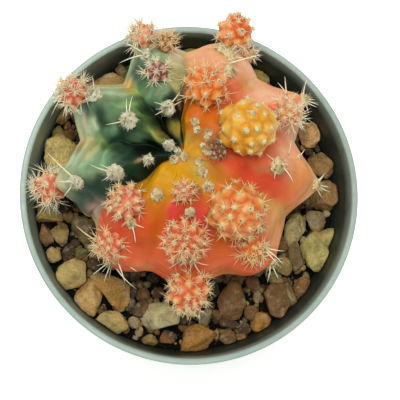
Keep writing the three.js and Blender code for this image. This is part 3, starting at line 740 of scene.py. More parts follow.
def grit_arrays(count, rows=3, columns=6):
    """Chips as stretched beads: unit directions on a small grid times three random half sizes, each point
    swollen or shrunk at random, placed on rings round the pot."""
    draw = np.random.default_rng(7)
    bead = globe(rows, columns)
    half = draw.uniform(0.35, 1.0, (count, 1, 1)) * draw.uniform(0.7, 1.3, (count, 1, 3))
    swell = draw.uniform(0.75, 1.15, (count, len(bead), 1))
    reach = np.sqrt(draw.uniform(0.25, 1, count)) * (inner_radius(BED_TOP) - 1.4)
    turn = draw.uniform(0, 2 * np.pi, count)
    height = BED_TOP + draw.uniform(0.2, 1.6, count)
    place = np.stack([reach * np.cos(turn), reach * np.sin(turn), height], -1)
    points = (bead[None] * swell * half + place[:, None]).reshape(-1, 3)
    colours = [linear(code) for code in STONE_COLOURS.values()]
    # Each chip is darkened to between a seventh and a half of a stone colour: painted shade of the gaps it
    # lies in.
    own = np.array(colours)[draw.integers(0, len(colours), count)] * draw.uniform(0.14, 0.5, (count, 1))
    colour = np.repeat(own, len(bead), axis=0)
    kind = np.repeat(draw.random(count), len(bead))
    faces = repeated(skin_faces(rows, columns), count, len(bead))
    return keep_in_pot(points), *faces, {"stone_kind": kind}, {"stone_colour": colour}


grit = make_piece("grit", *grit_arrays(GRIT))
finish_piece(grit, gravel.data.materials[0], "gravel")

# %% [markdown]
# ## The stem
# Each rib's edge runs over an oval outline from the crown to the base, and each furrow lies under that
# outline, deepest at the waist. A flank is straight from edge to furrow, and the edge is rounded over. The
# skin is a function of two parameters: the place round the ribs, where whole numbers are edges and halves
# are furrows, and the polar angle down from the crown.

# %% The stem's outline, edges and furrows
CROWN_LEAN = np.array([-1.2, 0.2])
EQUATOR = 82.0
CROWN_RISE = 20.5
BASE_DROP = 23.0
CROWN_DIMPLE = 3.0
BASE_POLAR = 150
ROOT_RADIUS = 12.0
ROOT_BOTTOM = 50.0
OUTLINE_POWER = 0.95
FURROW_POWER = 0.75
RIDGE_ROUNDING = 0.22
CHIN = 0.6
AREOLE_STEP = 24.5
# Each rib: direction, reach of its edge, distance of the furrow after it, polar angle of its first areole
RIBS = np.array([
    (27.8, 35.0, 27.8, 26), (67.5, 32.0, 26.8, 27), (104.2, 32.4, 23.3, 22),
    (146.6, 32.0, 24.8, 25), (191.0, 31.8, 24.4, 29), (231.3, 30.0, 27.4, 24),
    (273.2, 30.2, 29.4, 20), (312.9, 33.4, 29.2, 29), (354.7, 34.2, 28.9, 17),
])
RIB_COUNT = len(RIBS)


def outline(azimuth, reach, polar, push):
    """A point of the oval outline: radius is reach times a power of the polar angle's sine, height follows
    its cosine, and push moves the point along the outline's own normal."""
    half = np.where(polar < np.pi / 2, CROWN_RISE, BASE_DROP)
    slope, rise = np.sin(polar) / reach, np.cos(polar) / half
    length = np.hypot(slope, rise)
    radius = reach * np.abs(np.sin(polar)) ** OUTLINE_POWER + push * slope / length
    lean = np.maximum(np.cos(polar), 0)
    height = EQUATOR + half * np.cos(polar) - CROWN_DIMPLE * np.exp(-(polar / 0.28) ** 2)
    return np.stack([
        STEM_AXIS[0] + CROWN_LEAN[0] * lean + radius * np.cos(azimuth),
        STEM_AXIS[1] + CROWN_LEAN[1] * lean + radius * np.sin(azimuth),
        height + push * rise / length], -1)


def edge_line(rib, polar):
    """The rib's edge, which swells by the chin's height at each areole."""
    azimuth, reach, _, first = np.moveaxis(RIBS[rib], -1, 0)
    wave = np.cos(2 * np.pi * (np.degrees(polar) - first) / AREOLE_STEP)
    return outline(np.radians(azimuth), reach, polar, CHIN * wave * np.sin(polar))


def furrow_line(rib, polar):
    """The furrow after a rib: under the mean outline of the two ribs by a depth that fades to the crown."""
    after = (rib + 1) % RIB_COUNT
    turn = (RIBS[after, 0] - RIBS[rib, 0]) % 360
    reach = (RIBS[rib, 1] + RIBS[after, 1]) / 2
    depth = (reach - RIBS[rib, 2]) * np.abs(np.sin(polar)) ** FURROW_POWER
    return outline(np.radians(RIBS[rib, 0] + turn / 2), reach, polar, -depth)


def flank_share(side):
    """How far down the flank a point is: straight, but rounded over the edge by a parabola."""
    parabola = (side + RIDGE_ROUNDING) ** 2 / (4 * RIDGE_ROUNDING)
    return np.where(side < -RIDGE_ROUNDING, 0, np.where(side > RIDGE_ROUNDING, side, parabola))[..., None]


def stem_point(rib, side, polar):
    """A point of the skin. Side is -1 at the furrow before the rib, 0 at its edge, 1 at the furrow after:
    the edge's point plus each furrow's offset from it, by how far down that flank the point is."""
    rib, side, polar = np.broadcast_arrays(rib, np.asarray(side, float), np.asarray(polar, float))
    edge = edge_line(rib, polar)
    after = (furrow_line(rib, polar) - edge) * flank_share(side)
    before = (furrow_line((rib - 1) % RIB_COUNT, polar) - edge) * flank_share(-side)
    return edge + after + before


def stem_normal(rib, side, polar):
    """The skin's outward direction, from small steps down and round."""
    step = 0.01
    down = stem_point(rib, side, polar + step) - stem_point(rib, side, polar - step)
    onwards = stem_point(rib, np.minimum(side + step, 1), polar)
    backwards = stem_point(rib, np.maximum(side - step, -1), polar)
    return unit(np.cross(down, onwards - backwards))


# %% [markdown]
# The skin grid is drawn closer together at the edges, where it bends most. Fine waves on top of the
# formula keep it from looking machined: slow swells, and the faint cross-bands of growth on each flank.
# This plant also has bulges, lobes and leaning ribs of its own. They are listed by place and added last.

# %% The stem's skin as a grid
PER_RIB = 40
STEM_ROWS = 120
# How much deeper than the formula each furrow is near the crown: deep in the green third, shallow elsewhere
CROWN_GROOVES = np.array([0, 2.2, 1.8, 2.0, 2.6, 0, 0, 0, 0])
CROWN_CHIN = 0.5
# Where the waist stands out further than the formula: rib place, half width and height
BULGES = [(4.42, 0.14, 1.6), (5.24, 0.15, 1.6), (5.44, 0.12, 0.8), (6.75, 0.18, 1.6)]
# Where the skin lies to one side of the formula: rib place, half width, polar angle, half height, x and y
SHIFTS = [
    (4.5, 0.3, 9, 3, -0.5, 0.75), (4.5, 0.3, 22, 6, 0.4, -0.6), (1.5, 0.3, 13, 5, -0.9, 0),
    (1.5, 0.3, 26, 6, -0.7, 0), (8.0, 0.45, 78, 25, 0.2, -1.6), (2.0, 0.55, 72, 26, -1.5, 0.1),
    (1.3, 0.25, 78, 25, 0, 0.7), (0.65, 0.18, 70, 25, 1.1, 0.9), (3.25, 0.18, 75, 25, -0.8, 0),
    (3.74, 0.14, 70, 20, 0.5, -0.7),
]


def smooth_crown(place, polar):
    """The outline without furrows: direction and reach run evenly from one rib to the next."""
    ribs = np.arange(-1, RIB_COUNT + 1)
    azimuth = np.interp(place, ribs, np.r_[RIBS[-1, 0] - 360, RIBS[:, 0], RIBS[0, 0] + 360])
    reach = np.interp(place, ribs, np.r_[RIBS[-1, 1], RIBS[:, 1], RIBS[0, 1]])
    azimuth, reach, polar = np.broadcast_arrays(np.radians(azimuth)[None], reach[None], polar)
    return outline(azimuth, reach, polar, 0.0)


def skin_shift(place, polar):
    """How far the skin is moved in x and y: each listed shift times a soft oval round its own place."""
    place, polar = np.broadcast_arrays(place, polar)
    moved = np.zeros(place.shape + (2,))
    for middle, wide, height, tall, *shift in SHIFTS:
        aside = (place - middle + RIB_COUNT / 2) % RIB_COUNT - RIB_COUNT / 2
        share = np.exp(-(aside / wide) ** 2 - ((polar - height) / tall) ** 2)
        moved = moved + share[..., None] * np.array(shift)
    return moved


def stem_grid():
    """Rows of polar angle from crown to base by columns round the ribs, then two plain rings for the neck.
    The orange crown is blended towards an outline without furrows. Along the normal come swells, bands,
    lumps, chins on the ridges, and soft bulges at the waist. The crown's grooves go straight down, and
    last the points wander a little to the side and take the listed shifts."""
    column = np.arange(RIB_COUNT * PER_RIB)
    rib = column // PER_RIB
    even = 2 * (column % PER_RIB) / PER_RIB - 1
    side = np.sign(even) * np.abs(even) ** 1.25
    polar = np.radians(BASE_POLAR) * np.arange(1, STEM_ROWS + 1)[:, None] / STEM_ROWS
    down = np.degrees(polar)
    points = stem_point(rib[None], side[None], polar)
    normal = stem_normal(rib[None], side[None], polar)
    place = rib + side / 2
    shape = (STEM_ROWS, len(column))
    orange = np.maximum(smoothstep(1.46, 1.34, place), smoothstep(4.56, 4.68, place))[None]
    smooth = 0.82 * orange * smoothstep(34, 12, down)
    points = points + (smooth_crown(place, polar) - points) * smooth[..., None]
    flat = points.reshape(-1, 3)
    swell = (0.28 * ripple(flat, 11, 3) + 0.1 * ripple(flat, 3.5, 4)).reshape(shape)
    bands = np.cos(2 * np.pi * (down + 9 * np.abs(side)[None]) / (AREOLE_STEP / 3))
    bands = bands * smoothstep(25, 45, down)
    middle = np.sin(np.pi * np.clip(np.abs(side), 0, 1))[None]
    fade = np.sin(polar) ** 1.5
    waist = smoothstep(50, 78, down) * smoothstep(135, 105, down)
    bulge = waist * sum(high * np.exp(-((place - crest) / wide) ** 2)[None] for crest, wide, high in BULGES)
    after = np.where(side > 0, rib, (rib - 1) % RIB_COUNT)
    low = np.clip((np.abs(side) - 0.3) / 0.7, 0, 1)[None] ** 1.5
    groove = np.exp(-((down - 15) / 12) ** 2) * low * CROWN_GROOVES[after][None]
    groove = groove * smoothstep(2, 10, down)
    chin = np.cos(2 * np.pi * (down - RIBS[rib, 3][None]) / AREOLE_STEP) * (1 - np.sin(polar))
    ridge = np.exp(-(side / 0.35) ** 2)[None] * smoothstep(4, 14, down)
    lumps = 0.5 * ripple(flat, 5.5, 5).reshape(shape) * smooth * smoothstep(2, 8, down)
    relief = (swell + 0.07 * bands * middle * (1 - smooth)) * fade + lumps + bulge
    relief = relief + CROWN_CHIN * chin * ridge * (1 - smooth)
    points = points + normal * relief[..., None]
    points[..., 2] -= groove
    window = (smoothstep(3, 12, down) * smoothstep(60, 35, down))[..., None]
    wander = np.stack([ripple(flat, 4.5, 31), ripple(flat, 4.5, 32)], -1).reshape(*shape, 2)
    points[..., :2] += 0.4 * wander * window
    points[..., :2] += skin_shift(place[None], down)
    base_height = EQUATOR + BASE_DROP * math.cos(math.radians(BASE_POLAR))
    outward = unit(points[-1, :, :2] - STEM_AXIS)
    neck = STEM_AXIS + ROOT_RADIUS * outward
    rings = [np.c_[neck, np.full(len(neck), height)] for height in (base_height - 1.4, ROOT_BOTTOM)]
    crown = outline(0.0, 30.0, np.float64(1e-6), 0.0)[None]
    root = np.array([[*STEM_AXIS, ROOT_BOTTOM]])
    flat_points = np.concatenate([crown, points.reshape(-1, 3), *rings, root])
    full_polar = np.concatenate([down[:, 0], [BASE_POLAR, BASE_POLAR]])
    return flat_points, np.tile(place, STEM_ROWS + 2), np.repeat(full_polar, len(column)), normal


stem_points, stem_place, stem_polar, stem_normals = stem_grid()
stem_place = np.concatenate([[0], stem_place, [0]])
stem_polar = np.concatenate([[0], stem_polar, [BASE_POLAR]])
print("stem skin has", len(stem_points), "points")

# %% [markdown]
# ## The stem's colours
# The plant is a chimera: one third of it makes green flesh, and the rest none, so red and yellow show.
# Colour is laid on as named patches, each a soft oval in the skin's own two parameters, over a ground that
# changes from crown to waist. A patch is placed by its rib place and polar angle, so it stays on the flesh
# seen from any side. Noise moves the edges of all of them. Some patches are painted light and shade: the
# near-black in the green furrows and over the green crown is painted shade on a deep green, the dark teal
# on the steep flank after rib 4 is painted shade, and a pink patch on the steep flank before rib 0 is
# painted light.

# %% Colour patches
FLESH = {
    "coral": "#dc6438", "red": "#d2492c", "crimson": "#cc3a46", "orange": "#cf6c1a", "golden": "#d0980f",
    "ochre": "#c39c48", "salmon": "#e6a66c", "pink": "#edb890", "burnt": "#b8560c", "green": "#607b59",
    "deep": "#050d07", "dark": "#15301f", "teal": "#263c30", "sage": "#a3b48c", "cream": "#dcc494",
    "mauve": "#a88a7c", "brown": "#6a341c", "leaf": "#7c9a52", "olive": "#948c3e", "umber": "#6b5526",
    "khaki": "#b4a368", "moss": "#44521f", "bronze": "#a4641a", "tan": "#b98a5e", "fern": "#6d9268",
}
# Colour, rib place, polar angle, half width in ribs, half height in degrees, strength
PATCHES = [
    ("golden", 5.35, 15, 0.85, 12, 1.0), ("golden", 7.0, 10, 0.9, 8, 0.9),
    ("golden", 5.3, 26, 0.3, 9, 0.8), ("golden", 4.75, 20, 0.24, 10, 0.9),
    ("olive", 7.2, 7, 0.8, 5, 0.55), ("bronze", 7.4, 14, 0.4, 6, 0.8), ("olive", 1.2, 5, 0.9, 3.5, 0.6),
    ("bronze", 0.9, 8, 0.6, 5, 0.6), ("bronze", 0.1, 12, 0.5, 6, 0.7), ("orange", 0.4, 16, 0.6, 9, 0.7),
    ("burnt", 5.3, 44, 0.18, 18, 0.6), ("burnt", 5.45, 46, 0.11, 22, 0.9),
    ("red", 4.95, 60, 0.42, 24, 0.5), ("red", 5.1, 36, 0.2, 8, 0.5), ("crimson", 5.74, 27, 0.2, 9, 1.0),
    ("red", 5.95, 32, 0.35, 12, 0.8), ("crimson", 6.3, 30, 0.16, 9, 0.5),
    ("brown", 6.35, 17, 0.16, 4, 0.7), ("burnt", 6.1, 20, 0.3, 5, 0.5),
    ("orange", 6.5, 50, 0.14, 14, 0.7), ("red", 7.72, 30, 0.26, 22, 0.8),
    ("red", 8.2, 20, 0.35, 10, 0.6), ("brown", 7.95, 14, 0.3, 5, 0.5),
    ("ochre", 7.45, 58, 0.1, 24, 0.95), ("orange", 7.25, 45, 0.2, 16, 0.6),
    ("tan", 7.9, 36, 0.1, 8, 0.5), ("pink", 8.2, 52, 0.26, 12, 1.0), ("pink", 0.25, 52, 0.2, 14, 0.9),
    ("ochre", 0.5, 62, 0.08, 18, 0.95), ("ochre", 1.47, 52, 0.1, 14, 0.8),
    ("coral", 0.0, 36, 0.5, 10, 0.5), ("orange", 1.1, 22, 0.5, 12, 0.8),
    ("golden", 1.4, 13, 0.14, 6, 0.8), ("orange", 1.4, 21, 0.12, 6, 0.9),
    ("pink", 0.95, 58, 0.5, 16, 0.75), ("cream", 1.28, 64, 0.15, 8, 0.35),
    ("salmon", 0.9, 66, 0.55, 18, 0.7), ("salmon", 7.25, 66, 0.25, 18, 0.7),
    ("golden", 7.94, 60, 0.12, 8, 0.35), ("salmon", 8.6, 74, 0.6, 20, 0.7),
    # The pink patch at 8.56 is painted light: lighter than the flesh there, on a steep flank that lies in
    # shade.
    ("pink", 8.56, 70, 0.2, 12, 1.0), ("salmon", 8.0, 66, 0.25, 10, 0.8),
    # The deep patches paint shade: near-black in the green furrows and round the green crown.
    ("orange", 8.1, 60, 0.3, 12, 0.3), ("deep", 1.9, 16, 0.38, 8, 1.0), ("dark", 4.3, 20, 0.4, 12, 0.95),
    ("deep", 4.45, 18, 0.16, 9, 0.6), ("deep", 3.66, 17, 0.2, 14, 1.0),
    ("deep", 2.55, 15, 0.16, 11, 1.0), ("leaf", 3.06, 15, 0.2, 7, 0.6), ("olive", 2.9, 11, 0.2, 4, 0.7),
    ("olive", 2.1, 7.6, 0.22, 3.6, 1.0), ("bronze", 2.08, 7, 0.14, 2.4, 0.5),
    # Thin deep patches along the furrows after ribs 2 and 3: painted shade.
    ("deep", 3.66, 14, 0.24, 6, 0.9), ("deep", 2.5, 38, 0.045, 13, 1.0),
    ("deep", 3.49, 28, 0.045, 8, 1.0), ("brown", 8.3, 14, 0.35, 4, 0.4),
    ("fern", 2.28, 26, 0.14, 7, 0.7), ("dark", 2.54, 28, 0.12, 6, 0.5), ("dark", 3.0, 22, 0.15, 4, 0.5),
    ("fern", 2.42, 40, 0.07, 7, 0.6), ("leaf", 2.75, 32, 0.2, 12, 0.55), ("dark", 2.6, 30, 0.1, 7, 0.7),
    ("sage", 2.78, 46, 0.2, 6, 0.6), ("dark", 3.3, 28, 0.18, 7, 0.75), ("dark", 3.3, 44, 0.16, 5, 1.0),
    ("fern", 3.36, 36, 0.1, 4, 0.6), ("dark", 3.06, 43, 0.12, 5, 0.35), ("sage", 2.15, 28, 0.14, 3, 0.3),
    ("sage", 4.1, 44, 0.14, 5, 0.5), ("sage", 3.36, 52, 0.12, 7, 0.85), ("teal", 3.12, 59, 0.11, 9, 0.9),
    ("mauve", 3.31, 61, 0.1, 6, 0.5), ("dark", 2.3, 54, 0.11, 11, 0.85), ("dark", 3.7, 27, 0.1, 4, 0.7),
    # The dark and teal patches at places 4.2 to 4.4 paint shade on the steep flank after rib 4.
    ("dark", 3.48, 28, 0.12, 11, 0.8), ("dark", 4.38, 40, 0.18, 18, 0.95),
    ("dark", 4.22, 48, 0.09, 8, 0.8), ("teal", 4.34, 66, 0.2, 26, 0.95), ("fern", 3.8, 40, 0.2, 9, 0.7),
    ("dark", 3.85, 27, 0.2, 5, 0.7), ("leaf", 3.66, 39, 0.07, 4, 0.4), ("moss", 3.63, 37, 0.08, 6, 0.8),
    ("khaki", 1.75, 36, 0.2, 9, 0.85), ("sage", 2.0, 31, 0.16, 5, 0.6),
    ("cream", 1.72, 52, 0.14, 8, 0.6), ("sage", 1.92, 50, 0.2, 8, 0.7),
    ("sage", 3.75, 60, 0.2, 12, 0.85), ("khaki", 3.66, 51, 0.1, 6, 0.6),
    ("sage", 2.72, 56, 0.22, 8, 0.7), ("sage", 3.3, 76, 0.2, 12, 0.7), ("leaf", 2.5, 42, 0.06, 6, 0.8),
    ("ochre", 2.52, 57, 0.07, 12, 0.85), ("khaki", 3.54, 61, 0.07, 11, 0.85),
    ("leaf", 3.52, 44, 0.07, 6, 0.7), ("khaki", 2.78, 68, 0.25, 9, 0.8),
    ("umber", 3.58, 68, 0.06, 8, 0.7), ("cream", 1.75, 66, 0.25, 10, 0.7),
    ("cream", 3.5, 78, 0.1, 12, 0.5), ("mauve", 4.5, 70, 0.1, 22, 0.8),
    ("mauve", 3.05, 76, 0.1, 14, 0.3), ("tan", 4.02, 18, 0.09, 2.5, 0.45),
    ("umber", 4.54, 52, 0.07, 12, 0.9), ("coral", 5.5, 84, 0.85, 26, 0.95),
    ("coral", 6.7, 70, 0.3, 20, 1.0), ("dark", 4.0, 6, 0.7, 4, 0.6), ("bronze", 4.5, 0, 4.5, 1.6, 0.6),
    ("khaki", 2.62, 50, 0.06, 4, 0.7), ("sage", 2.26, 78, 0.12, 8, 0.8),
    ("cream", 1.6, 55, 0.07, 8, 0.6), ("ochre", 1.44, 75, 0.08, 8, 0.5),
    ("pink", 0.24, 46, 0.12, 7, 0.5), ("ochre", 0.62, 50, 0.08, 6, 0.4), ("cream", 4.0, 74, 0.1, 8, 0.5),
    ("fern", 3.36, 20, 0.09, 5, 0.35), ("khaki", 1.69, 24, 0.06, 4, 0.4),
    # Deep patches along the furrow bottoms near the crown: painted shade over the reflection there.
    ("deep", 2.5, 14, 0.05, 14, 1.0), ("deep", 3.5, 14, 0.05, 14, 1.0),
    ("pink", 0.68, 68, 0.18, 12, 0.9), ("pink", 8.72, 53, 0.14, 9, 0.8),
    ("salmon", 5.44, 76, 0.14, 7, 0.4), ("salmon", 7.28, 60, 0.12, 9, 0.6),
]
GREEN_SECTOR = (1.52, 4.52)


def stem_colour(place, polar, points):
    """Ground colours by sector and polar angle, then each patch blended in by its strength times a soft
    oval: exp of minus a power of the scaled distance from its middle. A patch narrower than two ribs keeps
    to its own side of the green sector's border, which is sharp near the crown and blurred lower down."""
    exact = place
    shrink = np.maximum(np.sin(np.radians(polar)), 0.22)
    place = place + (0.022 * ripple(points, 6, 21) + 0.01 * ripple(points, 2.5, 23)) / shrink
    polar = polar + 1.9 * ripple(points, 8, 22) + 0.7 * ripple(points, 2.5, 24)
    tone = {name: linear(code) for name, code in FLESH.items()}

    def across_polar(*stops):
        angles, names = zip(*stops)
        rows = np.array([tone[name] for name in names])
        return np.stack([np.interp(polar, angles, rows[:, band]) for band in range(3)], -1)

    warm = across_polar((4, "golden"), (16, "orange"), (30, "coral"), (60, "coral"), (82, "salmon"),
                        (105, "salmon"), (135, "ochre"))
    # Near the crown the green ground turns near-black: a deep green with painted shade over it.
    cool = across_polar((3, "dark"), (10, "deep"), (20, "dark"), (34, "green"), (56, "green"), (72, "sage"),
                        (95, "cream"), (135, "sage"))
    start, end = GREEN_SECTOR
    below = smoothstep(24, 36, polar)
    edge = exact + (place - exact) * below
    start = start - 0.035 * (1 - below)
    end = end + 0.035 * np.exp(-((polar - 29) / 4) ** 2) + 0.13 * smoothstep(50, 70, polar)
    blur = 0.02 + 0.04 * smoothstep(30, 60, polar)
    green = smoothstep(-blur, blur, edge - start) * (1 - smoothstep(-blur, blur, edge - end))
    colour = warm + (cool - warm) * green[:, None]
    for name, middle, height, wide, tall, strength in PATCHES:
        aside = (place - middle + RIB_COUNT / 2) % RIB_COUNT - RIB_COUNT / 2
        distance = np.hypot(aside / wide, (polar - height) / tall)
        share = strength * np.exp(-(distance ** 3.2) * 0.7)
        if wide < 2:
            share = share * (green if GREEN_SECTOR[0] < middle < GREEN_SECTOR[1] else 1 - green)
        colour = colour + (tone[name] - colour) * share[:, None]
    return colour, green


flesh_colour, green_share = stem_colour(stem_place, stem_polar, stem_points)
flank = 2 * np.abs(stem_place - np.round(stem_place))
stem_faces = skin_faces(STEM_ROWS + 2, RIB_COUNT * PER_RIB)
stem_values = {"flank": flank, "polar": stem_polar / 180, "green": green_share}
stem = make_piece("stem_skin", stem_points, *stem_faces, stem_values, {"flesh": flesh_colour})


# %% [markdown]
# Cactus skin is waxy over wet flesh. A little subsurface light softens the shade in the furrows. The skin
# gets cloudy mottling, pale growth bands across the green flanks, tiny pale pores and a low satin gloss.

# %% Stem skin finish
def flesh_finish(name, **plain):
    """Wet flesh under wax, in which red light goes furthest."""
    return Finish(name, IOR=1.42, Coat_Roughness=0.4, Subsurface_Radius=(1.0, 0.45, 0.25), **plain)


def stem_material():
    skin = flesh_finish("cactus_skin", Specular_IOR_Level=0.15, Subsurface_Weight=0.15,
                        Subsurface_Scale=0.0025, Coat_Weight=0.02)
    own = skin.attribute("flesh", "Color")
    green = skin.attribute("green")
    polar = skin.attribute("polar")
    flank_place = skin.attribute("flank")
    clouds = skin.noise(170.0, 4.0, 0.6)
    light = skin.mix(skin.ramp(clouds, 0.48, 0.72, 0.0, 0.45), own, skin.mix(0.35, own, own, "ADD"))
    dark = skin.mix(skin.ramp(clouds, 0.5, 0.28, 0.0, 0.55), light, skin.mix(0.7, own, own, "MULTIPLY"))
    wobble = skin.ramp(skin.noise(110.0, 3.0), 0.25, 0.75, -0.04, 0.04)
    along = skin.sum(skin.sum(polar, skin.sum(flank_place, 0.05, "MULTIPLY")), wobble)
    wave = skin.sum(along, 2 * math.pi * 180 / (AREOLE_STEP / 2), "MULTIPLY")
    bands = skin.sum(wave, 0.0, "SINE")
    seen = skin.sum(green, skin.ramp(polar, 60 / 180, 78 / 180, 1.0, 0.0), "MULTIPLY")
    pale_bands = skin.sum(skin.ramp(bands, -0.2, 1.0, 0.0, 0.5), seen, "MULTIPLY")
    banded = skin.mix(pale_bands, dark, skin.mix(0.8, dark, dark, "ADD"))
    pores = skin.ramp(skin.cells(2400.0), 0.1, 0.22, 0.3, 0.0)
    pored = skin.mix(pores, banded, skin.mix(0.3, banded, banded, "ADD"))
    gloss = skin.ramp(skin.noise(500.0, 3.0), 0.3, 0.7, 0.4, 0.58)
    wax = skin.bump(skin.noise(900.0, 4.0), 0.00016, 0.6)
    fine = skin.bump(skin.cells(2400.0), 0.00005, 0.4, wax)
    return skin.done(Base_Color=pored, Roughness=gloss, Normal=fine)


finish_piece(stem, stem_material(), "stem_flesh", "stem")

# %% [markdown]
# ## Daughter heads
# Each small head is a globe packed with tubercles, little warts that carry one areole each. Their middles
# alternate from row to row. The head's surface is found from the two nearest middles: where both are just
# as far away there is a crease, and at a middle there is a rounded peak.

# %% The heads
# Name, rib, side of the rib's edge, polar angle, radius, stand above the stem as a share of the radius,
# tubercles around, rows of tubercles, spine length, spines per areole, and the finish
HEADS = [
    ("golden", 0, -0.1, 24, 6.6, 0.72, 6, 6, 1.3, 4, "golden"),
    ("amber", 7, -0.1, 30, 6.4, 0.62, 6, 6, 2.2, 6, "amber"),
    ("amber_low", 7, -0.3, 53, 3.1, 0.55, 5, 5, 2.4, 6, "amber"),
    ("apricot", 1, 0.1, 27, 4.8, 0.65, 5, 6, 2.6, 7, "apricot"),
    ("coral_upper", 6, -0.1, 40, 4.6, 0.65, 6, 7, 2.1, 10, "coral"),
    ("coral_lower", 6, 0, 70, 4.8, 0.8, 6, 7, 2.1, 10, "coral"),
    ("tall_orange", 1, 0, 72, 4.2, 1.02, 5, 6, 2.2, 8, "tangerine"),
    ("small_orange", 1, -0.4, 84, 2.2, 0.7, 4, 5, 2.6, 9, "tan"),
    ("rose", 5, -0.28, 34, 4.1, 0.6, 6, 6, 1.8, 9, "rose"),
    ("rose_small", 5, 0, 62, 3.2, 0.6, 5, 5, 2.6, 8, "rose"),
    ("red_top", 2, 0.1, 68, 3.1, 0.75, 4, 5, 3.2, 15, "red"),
    ("tan_top", 2, -0.22, 58, 2.2, 0.7, 4, 5, 2.8, 8, "dusk"),
    ("purple", 2, 0.1, 37, 2.7, 0.7, 4, 4, 2.4, 8, "purple"),
    ("red_left", 3, 0.1, 66, 3.6, 0.8, 5, 6, 3.0, 11, "red"),
    ("red_low_left", 4, 0, 100, 3.9, 0.36, 5, 6, 3.2, 11, "red"),
    ("salmon_right", 0, -0.22, 48.5, 3.3, 0.6, 5, 5, 2.7, 7, "tan"),
    ("pink_centre", 6, -0.1, 18, 2.3, 0.65, 4, 5, 1.8, 9, "rose"),
    ("brown_centre", 8, 0.3, 13, 1.9, 0.6, 4, 5, 2.3, 9, "brown"),
]
SLOT_HEADS = {
    "golden_flesh": ("golden",),
    "amber_flesh": ("amber", "amber_low", "apricot", "small_orange"),
    "coral_flesh": ("coral_upper", "coral_lower", "tall_orange"),
    "rose_flesh": ("rose", "rose_small", "salmon_right", "pink_centre"),
    "red_flesh": ("red_top", "red_left", "red_low_left"),
    "tan_flesh": ("tan_top", "brown_centre"),
    "purple_flesh": ("purple",),
}
SLOTS = {name: slot for slot, names in SLOT_HEADS.items() for name in names}
# Colours of the peak, the body, the crease, the underside, and the body of the odd tubercle. The pale peak
# is partly painted highlight on the tubercle tops, and the dark crease partly painted shade between them.
HEAD_FINISHES = {
    "golden": ("#f0cb66", "#e2a226", "#d88e1e", "#d27c1e", "#e0ab34"),
    "amber": ("#f3ca80", "#de8a36", "#d06628", "#d47a28", "#de8848"),
    "apricot": ("#f4cc84", "#e88c3c", "#d86c22", "#d4942c", "#e88c48"),
    "coral": ("#f1c488", "#d88646", "#c65a32", "#ca7034", "#d4744c"),
    "tangerine": ("#f4cc8a", "#e68038", "#d05820", "#e09a48", "#e49058"),
    "rose": ("#f1ca98", "#dc8e5c", "#c86042", "#ce7a4a", "#d88468"),
    "red": ("#f2daa4", "#dc9c6c", "#c4604a", "#bb784e", "#d47e60"),
    "tan": ("#f0daa6", "#e0ac74", "#ca8450", "#c08e58", "#dca478"),
    "purple": ("#ecc8b0", "#bb8876", "#744638", "#8e6650", "#c8927c"),
    "brown": ("#d8b080", "#a8663c", "#5c2c12", "#80542f", "#8c4e34"),
    "dusk": ("#d8c08a", "#b88a5a", "#8a5a38", "#8f6f48", "#b07c58"),
}
PEAK = 1.1


def turned_upright(axis):
    """The rotation that takes the z axis to the given one by the shortest turn."""
    x, y, z = axis
    cross = np.array([[0, 0, x], [0, 0, y], [-x, -y, 0]])
    return np.eye(3) + cross + cross @ cross / (1 + z)


def tubercle_middles(around, rows):
    """Unit directions of the tubercles: the pole, then every second place of each row of half steps."""
    row, column = np.meshgrid(np.arange(1, rows + 1), np.arange(2 * around), indexing="ij")
    high = (row + column) % 2 == 0
    polar = np.pi * row[high] / (rows + 1)
    turn = np.pi * column[high] / around
    ring = np.stack([np.sin(polar) * np.sin(turn), -np.sin(polar) * np.cos(turn), np.cos(polar)], -1)
    return np.concatenate([[[0, 0, 1.0]], ring])


def head_arrays(around, rows, radius, seed, grid, dip):
    """The head about its own centre. Each direction's reach is radius times a blend from dip to PEAK, where
    the blend rises in a soft S with the gap between the distances to the nearest and second nearest middle.
    Middles are nudged at random, and each tubercle stands a little higher or lower than the next."""
    middles = tubercle_middles(around, rows)
    draw = np.random.default_rng(seed)
    middles = unit(middles + draw.normal(scale=0.07, size=middles.shape))
    heights = draw.uniform(PEAK - 0.12, PEAK, len(middles))
    tones = draw.random(len(middles))
    directions = globe(*grid, start=-np.pi / 2)
    angles = np.arccos(np.clip(directions @ middles.T, -1, 1))
    nearest = np.partition(angles, 1, axis=1)
    own = angles.argmin(axis=1)
    spacing = 3.8 / math.sqrt(len(middles))
    gap = np.clip((nearest[:, 1] - nearest[:, 0]) / (0.85 * spacing), 0, 1)
    blend = 0.5 * (1 - (1 - gap) ** 2) + 0.5 * smoothstep(0, 1, gap)

    def swell(places):
        return radius * (1 + 0.03 * ripple(places, 1.6, seed + 50))

    reach = swell(directions) * (dip + (heights[own] - dip) * blend)
    return directions, reach, blend, tones[own], middles, swell(middles) * heights


# %% [markdown]
# A head stands on the stem's skin, along the skin's own outward direction. What lies inside the stem stays
# hidden there, as a real head's foot does.

